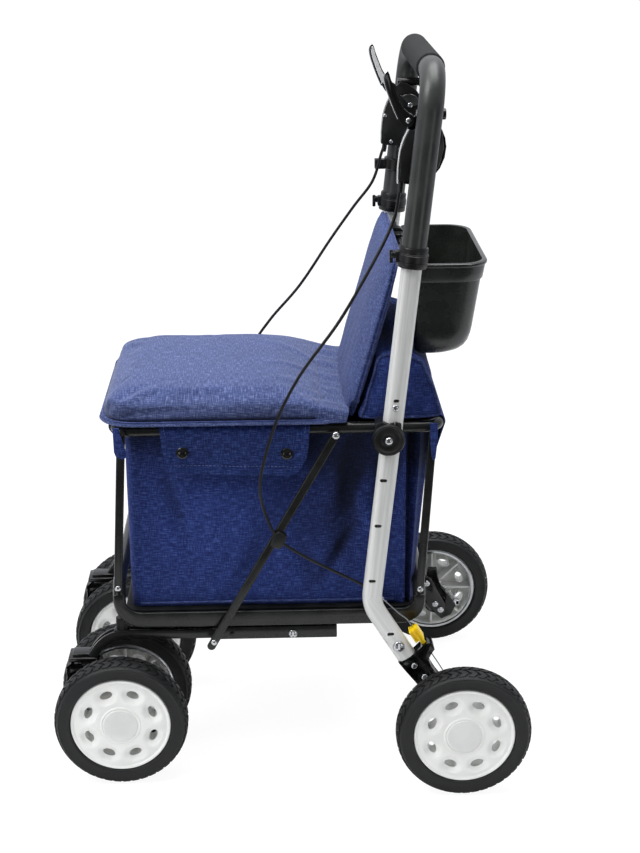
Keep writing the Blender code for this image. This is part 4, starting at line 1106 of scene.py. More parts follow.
def makeBrakeArm(label, side):
    low, high = span(side, 0.1918, 0.198)
    outline = [
        *arcPoints((0.2436, 0.067), 0.0065, 150, 300, 12), (0.26, 0.0672), (0.27, 0.074), (0.27, 0.0778),
        (0.2687, 0.081), (0.26, 0.0815), (0.248, 0.076),
    ]
    arm = paint(plateShape("armPlate", outline, low, high, 0.0009, 2), zincPlate)
    shoe = paint(boxShape("shoe", (low, 0.264, 0.0725), (high, 0.2698, 0.08), 0.0008, 2), zincPlate)
    finishPiece(joinPieces("brakeArm_" + label, [arm, shoe]), "brake_arm_" + label)
    fasten(rivetHead, "arm_" + label, (side * 0.198, 0.2436, 0.067), (side, 0, 0), 0.004)


def makeSpring(label, side):
    start, end = Vector((side * 0.196, 0.231, 0.115)), Vector((side * 0.196, 0.26, 0.0862))
    way = (end - start).normalized()
    cross = way.cross(Vector((1, 0, 0)))
    turns, perTurn = 9, 16
    path = []
    for k in range(turns * perTurn + 1):
        angle = 2 * math.pi * k / perTurn
        coil = Vector((1, 0, 0)) * math.cos(angle) + cross * math.sin(angle)
        path.append(start.lerp(end, k / (turns * perTurn)) + coil * 0.0036)
    spring = paint(tubeShape("spring", path, 0.0006, 2), zincPlate)
    rodPiece = paint(rodShape("springRod", 0.0012, -0.004, 0.046, start, way, 12), zincPlate)
    finishPiece(joinPieces("brakeSpring_" + label, [spring, rodPiece]), "brake_spring_" + label)


def makeAdjuster(label, side):
    x = side * legForm["x"]
    centre = Vector((0.0, 0.1688, 0.207))
    along = Vector((0.0, 0.5266, -0.85))
    crossWay = Vector((0.0, 0.85, 0.5266))

    low, high = span(side, legForm["x"] - 0.0068, legForm["x"] + 0.007)
    corners = [(-0.0068, -0.0098), (0.0068, -0.0098), (0.0068, 0.0098), (-0.0068, 0.0098)]
    pieces = [plateShape("barrel", obliqueOutline(centre, crossWay, along, corners), low, high, 0.0016, 2)]
    for offset in (-0.0054, 0.0, 0.0054):
        corners = [
            (offset - 0.0011, -0.0092), (offset + 0.0011, -0.0092), (offset + 0.0011, 0.0092),
            (offset - 0.0011, 0.0092),
        ]
        fin = obliqueOutline(centre, crossWay, along, corners)
        pieces.append(plateShape("fin", fin, low - 0.002, high + 0.002, 0.0004, 1))
    foot = rodShape("adjusterFoot", 0.0035, -0.002, 0.01, (x, 0.1735, 0.201), along, 16)
    paintAll(yellowAcetal, *pieces, foot)
    finishPiece(
        joinPieces("cableAdjuster_" + label, [*pieces, foot]), "cable_adjuster_" + label,
    )
    wire = tubeShape(
        "innerWire",
        smoothPath(
            [
                (x, 0.1786, 0.1942), (side * 0.185, 0.199, 0.166), (side * 0.193, 0.218, 0.135),
                (side * 0.196, 0.232, 0.114),
            ]
        ),
        0.0008, 2,
    )
    finishExtra(paint(wire, zincPlate), "leg_frame").name = "brakeWire_" + label


for label, side in sides:
    makeBracket(label, side)
    makeBrakeArm(label, side)
    makeSpring(label, side)
    makeAdjuster(label, side)
print("rear brackets made")

# Fold pivots

pivotForm = {
    "centre": (0.129, 0.487), "face": 0.1848, "saddleHalf": 0.0165,
    "saddleTop": [(-1, 0.02), (-0.55, 0.0232), (0, 0.0208), (0.55, 0.0232), (1, 0.02)],
}


def makePivot(label, side):
    centre = (0.0, *pivotForm["centre"])
    disc = latheShape(
        "disc",
        [
            (0, 0), (0.0205, 0), (0.021, 0.0008), (0.021, 0.0062), (0.02, 0.008), (0.0185, 0.0084),
            (0.0175, 0.0078), (0.0165, 0.0078), (0.0155, 0.0084), (0.009, 0.0086), (0.008, 0.008),
            (0.007, 0.008), (0.006, 0.0086), (0, 0.0086),
        ],
        (side * pivotForm["face"], *pivotForm["centre"]), (side, 0, 0), 56,
    )
    half = pivotForm["saddleHalf"]
    top = [(centre[1] + share * half, centre[2] + rise) for share, rise in pivotForm["saddleTop"]]
    outline = [(centre[1] - half, centre[2] + 0.005), (centre[1] + half, centre[2] + 0.005), *top[::-1]]
    saddle = plateShape("saddle", outline, *span(side, 0.161, 0.1872), 0.0016, 2)
    slots = [
        boxShape(
            "slot", (0.17 * side - 0.03, centre[1] + a, centre[2] + 0.0165),
            (0.17 * side + 0.03, centre[1] + a + 0.0016, centre[2] + 0.03), 0.0,
        )
        for a in (-0.007, 0.0, 0.007)
    ]
    cutAway(saddle, *slots)
    cutAway(saddle, rodShape("legRoom", 0.0121, -0.06, 0.06, onLeg(0.5, 0, side * legForm["x"]), legWay, 32))
    paintAll(blackNylon, disc, saddle)
    finishPiece(joinPieces("pivotKnob_" + label, [disc, saddle]), "pivot_knob_" + label)
    fasten(
        rivetHead, "leg_frame", (side * (pivotForm["face"] + 0.0082), *pivotForm["centre"]), (side, 0, 0),
        0.0052,
    )


for label, side in sides:
    makePivot(label, side)
print("pivots made")

# Handle, grip, collars, brake levers

handleForm = {"radius": 0.0157, "low": 0.7095, "bar": 0.943, "bend": 0.045, "gripHalf": 0.118}
leverForm = {
    "pivot": (0.1523, 0.885), "low": 0.1495, "high": 0.157,
    "blade": [
        (0.1585, 0.887), (0.159, 0.882), (0.156, 0.878), (0.151, 0.8768), (0.145, 0.88), (0.14, 0.888),
        (0.1352, 0.899), (0.13, 0.912), (0.1256, 0.925), (0.1238, 0.934), (0.124, 0.9385), (0.1256, 0.9425),
        (0.1276, 0.943), (0.129, 0.9405), (0.1312, 0.933), (0.1358, 0.921), (0.1408, 0.909), (0.1472, 0.899),
        (0.1545, 0.8925),
    ],
    "edgeLine": [
        (0.14, 0.8872), (0.135, 0.8982), (0.1297, 0.9114), (0.1252, 0.9246), (0.1233, 0.934), (0.1242, 0.94),
        (0.127, 0.9436),
    ],
    "highlightInsert": [
        (0.1462, 0.889), (0.1408, 0.8905), (0.1362, 0.9005), (0.1312, 0.913), (0.1268, 0.9258),
        (0.125, 0.9345), (0.126, 0.9405), (0.1272, 0.9412), (0.1284, 0.939), (0.1304, 0.9315),
        (0.135, 0.9195), (0.14, 0.9075), (0.1456, 0.8985),
    ],
}

legLeft = Vector((legForm["x"], 0, 0))
handlePath = bentPath(
    [
        onLeg(handleForm["low"]) + legLeft, onLeg(handleForm["bar"]) + legLeft,
        onLeg(handleForm["bar"]) - legLeft, onLeg(handleForm["low"]) - legLeft,
    ],
    handleForm["bend"], 14,
)
handleTube = tubeShape("handleTube", handlePath, handleForm["radius"], 10)
finishPiece(paint(handleTube, satinBlack), "handle_tube")
gripProfile = [
    (0, 0), (0.0166, 0), (0.0178, 0.0012), (0.018, 0.003), (0.018, 0.006), (0.018, 0.23), (0.018, 0.233),
    (0.0178, 0.2348), (0.0166, 0.236), (0, 0.236),
]
gripPiece = latheShape(
    "foamGrip", gripProfile, (-handleForm["gripHalf"], *onLeg(handleForm["bar"])[1:]), (1, 0, 0), 48,
)
finishPiece(paint(gripPiece, gripFoam), "foam_grip")


def makeCollar(label, side):
    x = side * legForm["x"]
    start = onLeg(0.7085, 0, x)
    profile = [
        (0.0162, 0), (0.0186, 0), (0.019, 0.0006), (0.019, 0.0066), (0.0184, 0.0072), (0.0184, 0.0082),
        (0.0195, 0.0086), (0.0195, 0.016), (0.0188, 0.0166), (0.0188, 0.0178), (0.0182, 0.0182),
        (0.0182, 0.0242), (0.0175, 0.0254), (0.0162, 0.0256),
    ]
    collar = latheShape("collar", profile, start, legWay, 48)
    lug = boxShape(
        "collarLug", (x - 0.0065, start.y - 0.0205, 0.715), (x + 0.0065, start.y - 0.012, 0.729), 0.0012, 2,
    )
    knobStart = onLeg(0.7215, -0.0198, x)
    outward = Vector((0.0, -legWay.z, legWay.y))
    knob = latheShape(
        "knob", [(0, 0), (0.004, 0), (0.0046, 0.0006), (0.0046, 0.007), (0.004, 0.0078), (0, 0.008)],
        knobStart, outward, 28,
    )
    wing = boxShape(
        "wing", (x - 0.0025, knobStart.y - 0.0095, 0.7135), (x + 0.0025, knobStart.y - 0.005, 0.73), 0.0012,
        2,
    )
    paintAll(blackNylon, collar, lug, knob, wing)
    finishPiece(
        joinPieces("heightCollar_" + label, [collar, lug]), "height_collar_" + label,
    )
    finishPiece(joinPieces("clampKnob_" + label, [knob, wing]), "clamp_knob_" + label)


def makeHousing(label, side):
    low, high = span(side, 0.14, 0.1489)
    outline = [
        (0.1384, 0.808), (0.147, 0.8062), (0.1557, 0.805), (0.1665, 0.8062), (0.176, 0.809), (0.1858, 0.816),
        (0.193, 0.825), (0.1985, 0.838), (0.2004, 0.8515), (0.1988, 0.8625), (0.195, 0.872), (0.1895, 0.88),
        (0.183, 0.886), (0.1745, 0.8915), (0.165, 0.894), (0.159, 0.888), (0.1524, 0.876), (0.146, 0.862),
        (0.1417, 0.8485), (0.1395, 0.828),
    ]
    shell = plateShape("housingShell", outline, low, high, 0.0018, 3, inset=(0.0034, 0.0012))
    block = plateShape(
        "housingBlock",
        [
            (0.142, 0.811), (0.175, 0.811), (0.1905, 0.829), (0.196, 0.851), (0.1935, 0.874), (0.154, 0.874),
            (0.144, 0.848),
        ],
        *span(side, 0.147, 0.1577), 0.0014, 2
    )
    ear = latheShape(
        "ear", [(0, 0), (0.007, 0), (0.0075, 0.0006), (0.0075, 0.0084), (0.007, 0.009), (0, 0.009)],
        (side * 0.14, *leverForm["pivot"]), (side, 0, 0), 28,
    )
    ferrule = latheShape(
        "ferrule", [(0, 0), (0.0034, 0), (0.0034, 0.009), (0.0028, 0.014), (0, 0.014)],
        (side * 0.15, 0.145, 0.81), (0, -0.1, -0.99), 16,
    )
    paintAll(blackNylon, shell, block, ear, ferrule)
    quadrant = plateShape(
        "quadrant", [(0.1789, 0.859), (0.1648, 0.8756), *arcPoints((0.177, 0.86), 0.017, 122, 10, 12)],
        *span(side, 0.1384, 0.1399), 0.0004, 1
    )
    paint(quadrant, burnishedSteel)
    finishPiece(
        joinPieces("brakeHousing_" + label, [shell, block, ear, ferrule, quadrant]),
        "brake_housing_" + label,
    )


def makeLeverClamp(label, side):
    clampBolt = latheShape(
        "clampBolt",
        [
            (0, 0), (0.0052, 0), (0.0056, 0.0006), (0.0056, 0.03), (0.0068, 0.0304), (0.0068, 0.0352),
            (0.006, 0.036), (0, 0.0362),
        ],
        (side * 0.153, 0.162, 0.892), (0, 1, 0), 24,
    )
    # A pale strip on the housing's front edge: a painted highlight.
    highlightStrip = plateShape(
        "highlightStrip",
        ribbonOutline(
            [(0.1398, 0.8085), (0.1402, 0.828), (0.1425, 0.8485), (0.1468, 0.8624), (0.1526, 0.8745)], 0.0008,
        ),
        *span(side, 0.1528, 0.1582), 0.0003, 1,
    )
    paint(clampBolt, glossNylon)
    paint(highlightStrip, paintedHighlight)
    finishExtra(joinPieces("leverClamp_" + label, [clampBolt, highlightStrip]), "handle")
    for spot in ((0.1442, 0.8477), (0.1528, 0.8116)):
        fasten(rivetHead, "handle", (side * 0.14, *spot), (-side, 0, 0), 0.0026)
    fasten(screwHead, "handle", (side * 0.1384, 0.1789, 0.862), (-side, 0, 0), 0.0034)


def makeLever(label, side):
    low, high = span(side, leverForm["low"], leverForm["high"])
    lever = plateShape("leverBlade", leverForm["blade"], low, high, 0.0016, 3, inset=(0.0024, 0.001))
    paint(lever, glossNylon)
    trim = plateShape(
        "leverTrim", ribbonOutline(leverForm["edgeLine"], 0.0011), low + 0.0012, high - 0.0012, 0.0004, 1,
    )
    paint(trim, zincPlate)
    # A pale inlay on the lever's inner face: a painted highlight.
    highlightInsert = plateShape("leverHighlightInsert", leverForm["highlightInsert"], *span(side, 0.1484, 0.15), 0.0004, 1)
    paint(highlightInsert, paintedHighlight)
    lever = joinPieces("lever", [lever, highlightInsert])
    finishPiece(joinPieces("brakeLever_" + label, [lever, trim]), "brake_lever_" + label)
    fasten(rivetHead, "lever_" + label, (side * 0.1569, *leverForm["pivot"]), (side, 0, 0), 0.0036)
    for spot in ((0.1411, 0.891), (0.1474, 0.8835)):
        fasten(rivetHead, "lever_" + label, (side * 0.1496, *spot), (-side, 0, 0), 0.002)


for label, side in sides:
    makeCollar(label, side)
    makeHousing(label, side)
    makeLeverClamp(label, side)
    makeLever(label, side)

clipMiddle = onLeg(0.775, 0, -legForm["x"])
clipRing = latheShape(
    "clipRing",
    [(0.0161, -0.008), (0.0182, -0.008), (0.019, -0.007), (0.019, 0.007), (0.0182, 0.008), (0.0161, 0.008)],
    clipMiddle, legWay, 48,
)
jaw = [(-0.007, -0.017), (-0.007, -0.0315), (-0.004, -0.032), (-0.0036, -0.0285)]
jaw += arcPoints((0, -0.0267), 0.0045, 225, -45, 15) + [(-x, y) for x, y in jaw[::-1]]
jawOutline = [(clipMiddle.x + x, clipMiddle.y + y) for x, y in jaw]
clipJaw = plateShape("clipJaw", jawOutline, 0.7685, 0.7815, 0.0008, 2, plane="XY")
paintAll(blackNylon, clipRing, clipJaw)
finishPiece(joinPieces("stickClip", [clipRing, clipJaw]), "stick_clip")
print("handle made")

# Hanger, seat ring, tray, posts and struts

hangerCorners = [(0.163, 0.1535, 0.6), (0.147, 0.1535, 0.6), (0.147, 0.158, 0.64), (0.147, 0.158, 0.695)]
hangerCorners += [(-x, y, z) for x, y, z in hangerCorners[::-1]]
hanger = tubeShape("hangerTube", bentPath(hangerCorners, 0.012, 8), 0.005, 6)
finishPiece(paint(hanger, powderCoat), "back_hanger")

ringCorners = [
    (0.1425, -0.2215, 0.4885), (0.1425, 0.1975, 0.4885), (-0.1425, 0.1975, 0.4885),
    (-0.1425, -0.2215, 0.4885),
]
ringTube = tubeShape("ringTube", bentPath(ringCorners, 0.02, 10, True), 0.008, 8, True)
ringPieces = [ringTube]
for label, side in sides:
    ringPieces.append(
        latheShape(
            "foldBush", [(0, 0), (0.0085, 0), (0.0085, 0.0185), (0.0078, 0.0194), (0, 0.0194)],
            (side * 0.1425, 0.129, 0.487), (side, 0, 0), 32,
        )
    )
    ringPieces.append(
        rodShape("strutStud", 0.0045, 0, 0.013, (side * 0.1425, 0.0632, 0.4855), (side, 0, 0), 24)
    )
paintAll(powderCoat, *ringPieces)
finishPiece(joinPieces("seatRing", ringPieces), "seat_ring")

trayForm = {
    "half": 0.142, "z": 0.2213, "front": (-0.2271, 0.2714), "rear": (0.1749, 0.2625), "fasciaHalf": 0.0112,
}
trayZ = trayForm["z"]
(trayFront, trayFrontTop), (trayRear, trayRearTop) = trayForm["front"], trayForm["rear"]
trayRun = [(trayFront, trayFrontTop), (trayFront, trayZ), (trayRear, trayZ), (trayRear, trayRearTop)]
trayCorners = [(trayForm["half"], *p) for p in trayRun] + [(-trayForm["half"], *p) for p in trayRun[::-1]]
trayRadii = [0.018, 0.024, 0.018, 0.018]


def fasciaHalf(point):
    # The plastic rail narrows where it turns up.
    return trayForm["fasciaHalf"] - 0.0032 * limited((point.z - trayZ) / 0.02)


trayPieces = [
    tubeShape("trayTube", bentPath(trayCorners, trayRadii + trayRadii[::-1], 8, True), 0.0085, 8, True)
]
for label, side in sides:
    line = bentPath(
        [(0, trayFront, 0.26), (0, trayFront, trayZ), (0, trayRear, trayZ), (0, trayRear, 0.252)],
        [0, 0.03, 0.024, 0], 10,
    )
    fascia = bandOutline(line, fasciaHalf)
    trayPieces.append(plateShape("fascia", fascia, *span(side, 0.144, 0.1504), 0.003, 5))
    lug = plateShape(
        "trayLug",
        [*arcPoints((0.1153, 0.2699), 0.008, 0, 180, 12), *arcPoints((0.1153, 0.2213), 0.008, 180, 360, 8)],
        *span(side, 0.145, 0.1495), 0.0008, 2
    )
    pin = rodShape("trayPin", 0.0045, 0, 0.016, (side * 0.146, 0.1153, 0.2699), (side, 0, 0), 24)
    trayPieces += [lug, pin]
    for spot in (trayForm["front"], trayForm["rear"]):
        trayPieces.append(rodShape("trayStud", 0.0045, 0, 0.0207, (side * 0.13, *spot), (side, 0, 0), 20))
paintAll(powderCoat, *trayPieces)
finishPiece(joinPieces("trayFrame", trayPieces), "tray_ring")
trayFloor = boxShape("trayFloor", (-0.1425, -0.22, 0.2301), (0.1425, 0.169, 0.2341), 0.0008, 2)
trayRibs = [
    boxShape("trayRib", (-0.134, -0.19 + k * 0.048, 0.228), (0.134, -0.186 + k * 0.048, 0.2303), 0.0005, 1)
    for k in range(8)
]
paintAll(blackNylon, trayFloor, *trayRibs)
finishPiece(joinPieces("trayBase", [trayFloor, *trayRibs]), "tray_floor")

linkY, linkZ = 0.129 - 0.1153, 0.487 - 0.2699


def strapOutline(start, end, width, steps=12):
    angle = math.degrees(math.atan2(end[1] - start[1], end[0] - start[0]))
    return arcPoints(end, width / 2, angle - 90, angle + 90, steps) + arcPoints(
        start, width / 2, angle + 90, angle + 270, steps,
    )


def makePost(name, label, side, foot):
    top = (foot[0] + linkY, foot[1] + linkZ)
    bar = plateShape("postBar", strapOutline(foot, top, 0.0112), *span(side, 0.1508, 0.1552), 0.0021, 5)
    finishPiece(paint(bar, powderCoat), f"{name}_post_{label}").name = f"{name}Post_{label}"
    fasten(rivetHead, f"{name}_posts", (side * 0.1549, *foot), (side, 0, 0), 0.0042)
    fasten(rivetHead, f"{name}_posts", (side * 0.1549, *top), (side, 0, 0), 0.0036, powderCoat)


strutForm = {"top": (0.0632, 0.4838), "foot": (-0.1019, 0.1916), "clip": (-0.013, 0.34)}


def makeStrut(label, side):
    top, foot = Vector((0, *strutForm["top"])), Vector((0, *strutForm["foot"]))
    way = (foot - top).normalized()
    end = foot + way * 0.007
    bar = plateShape(
        "strutBar", strapOutline(strutForm["top"], (end.y, end.z), 0.0115), *span(side, 0.1556, 0.16),
        0.0021, 5,
    )
    cross = Vector((0, -way.z, way.y))
    spot = Vector((0, *strutForm["clip"]))
    corners = [
        (-0.007, -0.0115), (-0.0088, -0.004), (-0.007, 0.0115), (0.007, 0.0115), (0.0096, 0.002),
        (0.007, -0.0115),
    ]
    clip = plateShape(
        "cableClip", obliqueOutline(spot, cross, way, corners), *span(side, 0.1545, 0.1645), 0.002, 3,
    )
    paint(bar, powderCoat)
    paint(clip, blackNylon)
    finishPiece(joinPieces("strutBar_" + label, [bar, clip]), "strut_" + label)
    fasten(rivetHead, "struts", (side * 0.1597, *strutForm["top"]), (side, 0, 0), 0.0052)
    fasten(
        rivetHead, "struts", (side * 0.1597, strutForm["foot"][0], strutForm["foot"][1]), (side, 0, 0),
        0.0042,
    )


for label, side in sides:
    for name in ("front", "rear"):
        makePost(name, label, side, trayForm[name])
    makeStrut(label, side)
print("frame tubes made")

# Brake cables

cableForm = {"radius": 0.0021}
lowRoute = [(0.16, 0.0412, 0.3034), (0.157, 0.0967, 0.2719), (0.159, 0.1221, 0.2538)]
bareRoute = [
    (0.159, 0.1221, 0.2538), (0.169, 0.145, 0.235), (0.172, 0.1569, 0.2262), (0.173, 0.1633, 0.2159),
]
cableRoutes = {
    "left": [
        (0.15, 0.1447, 0.8063), (0.151, 0.142, 0.793), (0.156, 0.135, 0.762), (0.163, 0.1121, 0.7153),
        (0.166, 0.0685, 0.6391), (0.1665, 0.0177, 0.5678), (0.1665, -0.0124, 0.5081), (0.166, -0.031, 0.448),
        (0.1655, -0.0359, 0.4125), (0.1624, -0.03, 0.379), (0.1621, -0.016, 0.346), (0.1621, 0.004, 0.327),
        *lowRoute
    ],
    "right": [
        (0.15, 0.1447, 0.8063), (0.151, 0.14, 0.793), (0.156, 0.128, 0.7532), (0.163, 0.101, 0.715),
        (0.166, 0.0678, 0.6671), (0.1665, 0.0239, 0.6012), (0.1665, -0.0205, 0.5493),
        (0.1665, -0.048, 0.506), (0.166, -0.059, 0.45), (0.1655, -0.056, 0.4), (0.1621, -0.036, 0.36),
        (0.1621, 0.0, 0.33), *lowRoute,
    ],
}
for label, side in sides:
    route = smoothPath([(x * side, y, z) for x, y, z in cableRoutes[label]], 8)
    cable = paint(tubeShape("sheath", route, cableForm["radius"], 3), blackNylon)
    bare = paint(
        tubeShape("bareWire", smoothPath([(x * side, y, z) for x, y, z in bareRoute], 8), 0.0008, 2),
        zincPlate
    )
    stop = rodShape(
        "wireStop", 0.0028, -0.004, 0.004, (side * 0.159, 0.1221, 0.2538), (side * 0.36, 0.73, -0.58), 16,
    )
    cable = joinPieces("brakeCable_" + label, [cable, bare, paint(stop, zincPlate)])
    smoothShade(cable)
    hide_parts("brake_cable_" + label)
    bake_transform(cable)
print("cables made")

# Basket

basketForm = {
    "half": 0.117, "front": 0.1662, "rear": 0.2577, "low": 0.57, "high": 0.698, "wall": 0.0025,
    "draft": 0.018, "frontDraft": 0.001, "corner": 0.032, "smallCorner": 0.008,
}


def basketLoop(z, grow=0.0, bottomPull=0.0):
    share = (basketForm["high"] - z) / (basketForm["high"] - basketForm["low"])
    half = basketForm["half"] - basketForm["draft"] * 0.55 * share + grow - bottomPull
    rear = basketForm["rear"] - basketForm["draft"] * share + grow - bottomPull
    front = basketForm["front"] + basketForm["frontDraft"] * share - grow * 0.2 + bottomPull * 0.45
    corner = basketForm["corner"]
    small = basketForm["smallCorner"]
    points = arcPoints((half - corner, rear - corner), corner, 0, 90, 12)
    points += arcPoints((corner - half, rear - corner), corner, 90, 180, 12)
    points += arcPoints((small - half, front + small), small, 180, 270, 6)
    points += arcPoints((half - small, front + small), small, 270, 360, 6)
    return [(x, y, z) for x, y in points]


def makeBasket():
    low, high = basketForm["low"], basketForm["high"]
    levels = [
        (low, 0.0, 0.03), (low + 0.0006, 0.0, 0.022), (low + 0.0026, 0.0, 0.015), (low + 0.0062, 0.0, 0.009),
        (low + 0.011, 0.0, 0.005), (low + 0.018, 0.0, 0.002), (low + 0.028, 0.0, 0.0004),
    ]
    levels += [(low + rise, 0.0, 0.0) for rise in (0.036, 0.055, 0.08, 0.105)]
    levels += [(high - 0.006, 0.0, 0.0), (high - 0.0006, 0.0, 0.0)]
    loops = [basketLoop(z, grow, pull) for z, grow, pull in levels]
    bandLevels = [
        (high - 0.025, 0.0002), (high - 0.0247, 0.0014), (high - 0.0235, 0.002), (high - 0.014, 0.0022),
        (high - 0.0058, 0.0024), (high - 0.005, 0.0034), (high - 0.003, 0.004), (high - 0.001, 0.0036),
        (high, 0.002), (high + 0.0003, -0.0004), (high - 0.0006, -0.0022),
    ]
    bandLoops = [basketLoop(z, grow) for z, grow in bandLevels]
    count = len(loops[0])

    def place(u, v):
        loop = loops[round(v * (len(loops) - 1))]
        return loop[round(u * count) % count]

    def bandPlace(u, v):
        loop = bandLoops[round(v * (len(bandLoops) - 1))]
        return loop[round(u * count) % count]

    band = gridShape("basketBand", count, len(bandLoops) - 1, bandPlace)
    cleanMesh(band, 0.00001)
    applyModifier(band, "SOLIDIFY", thickness=0.001, offset=-1.0)
    paint(band, basketPlastic)
    basket = gridShape("basketShell", count, len(loops) - 1, place)
    activate(basket)
    editAll()
    bpy.ops.mesh.remove_doubles(threshold=0.00001)
    bpy.ops.mesh.select_all(action="DESELECT")
    bpy.ops.object.mode_set(mode="OBJECT")
    for vert in basket.data.vertices:
        vert.select = vert.co.z < low + 0.0005
    bpy.ops.object.mode_set(mode="EDIT")
    bpy.ops.mesh.edge_face_add()
    bpy.ops.mesh.select_all(action="SELECT")
    bpy.ops.mesh.normals_make_consistent(inside=False)
    bpy.ops.object.mode_set(mode="OBJECT")
    applyModifier(basket, "SOLIDIFY", thickness=basketForm["wall"], offset=-1.0)
    paint(basket, basketPlastic)
    pieces = [basket, band]
    hookTop = 0.695 + 0.009
    for side in (1.0, -1.0):
        outline = [
            (0.1495, hookTop), (0.1495, 0.69), (0.1524, 0.69), (0.1524, 0.7003),
            (basketForm["front"] + 0.0012, 0.7003), (basketForm["front"] + 0.0012, hookTop),
        ]
        pieces.append(paint(plateShape("hook", outline, *span(side, 0.03, 0.048), 0.0006, 1), basketPlastic))
    finishPiece(joinPieces("basketTub", pieces), "basket", 40.0)


makeBasket()
print("basket made")

# Soft goods


def swell(pad, settings, pinned):
    # Voxel remesh, then cloth with air pressure; the seams are held and no point goes past the cap.
    applyModifier(pad, "REMESH", mode="VOXEL", voxel_size=settings["voxel"])
    rest = [v.co.copy() for v in pad.data.vertices]
    group = pad.vertex_groups.new(name="seams")
    held = [v.index for v in pad.data.vertices if pinned(v.co)]
    group.add(held, 1.0, "REPLACE")
    activate(pad)
    cloth = pad.modifiers.new("cloth", "CLOTH")
    cloth.settings.quality = 5
    cloth.settings.mass = 0.3
    cloth.settings.tension_stiffness = 15
    cloth.settings.compression_stiffness = 15
    cloth.settings.bending_stiffness = settings.get("bending", 0.5)
    cloth.settings.use_pressure = True
    cloth.settings.uniform_pressure_force = settings["pressure"]
    cloth.settings.shrink_min = settings.get("shrink", 0.0)
    cloth.settings.vertex_group_mass = "seams"
    cloth.settings.effector_weights.gravity = 0.0
    cloth.point_cache.frame_start = 1
    cloth.point_cache.frame_end = 20
    scene = bpy.context.scene
    for frameNumber in range(1, 21):
        scene.frame_set(frameNumber)
    bpy.ops.object.modifier_apply(modifier=cloth.name)
    scene.frame_set(1)
    for vert, before in zip(pad.data.vertices, rest):
        move = vert.co - before
        if move.length > settings["cap"]:
            vert.co = before + move.normalized() * settings["cap"]
    pad.vertex_groups.clear()
    return pad


def hugPad(pad, points, lift):
    # Piping is sewn into the seam, so it follows the pad as it came out of the simulation.
    bpy.context.view_layer.update()
    path = []
    for point in points:
        near = pad.closest_point_on_mesh(point)[1]
        near += (point - near).normalized() * lift
        if not path or (near - path[-1]).length > 0.0018:
            path.append(near)
    return path


def stitchRow(name, path, body, length=0.0034, gap=0.0016, radius=0.00042):
    # Short thread dashes laid along a path.
    stitch = latheShape(
        "stitch",
        [
            (0, 0), (radius * 0.7, length * 0.08), (radius, length * 0.5), (radius * 0.7, length * 0.92),
            (0, length),
        ],
        steps=6,
    )
    made, walked, target = [], 0.0, 0.0
    for a, b in zip(path, path[1:]):
        run = (b - a).length
        while target < walked + run:
            spot = a + (b - a) * ((target - walked) / run)
            turned = (b - a).to_track_quat("Z", "Y").to_matrix().to_4x4()
            made.append(copyOf(stitch, "stitch", Matrix.Translation(spot) @ turned))
            target += length + gap
        walked += run
    bpy.data.objects.remove(stitch)
    row = paint(joinPieces(name, made), threadMaterial)
    return finishExtra(row, body)


def pipingShape(name, path, radius, body, closed=False, material=None):
    piping = tubeShape(name, path, radius, 3, closed)
    clothUv(piping)
    return finishExtra(paint(piping, material or bindingTape), body)


def roundedPlan(half, front, rear, frontCorner, rearCorner, steps=10):
    plan = arcPoints((half - frontCorner, front + frontCorner), frontCorner, -90, 0, steps)
    plan += arcPoints((half - rearCorner, rear - rearCorner), rearCorner, 0, 90, steps)
    return plan + [(-x, y) for x, y in plan[::-1]]


seatForm = {
    "half": 0.156, "front": -0.2405, "rear": 0.05, "low": 0.5028, "high": 0.5295, "crown": 0.01,
    "corner": 0.044, "voxel": 0.005, "pressure": 4.0, "cap": 0.006, "bending": 2.0,
}


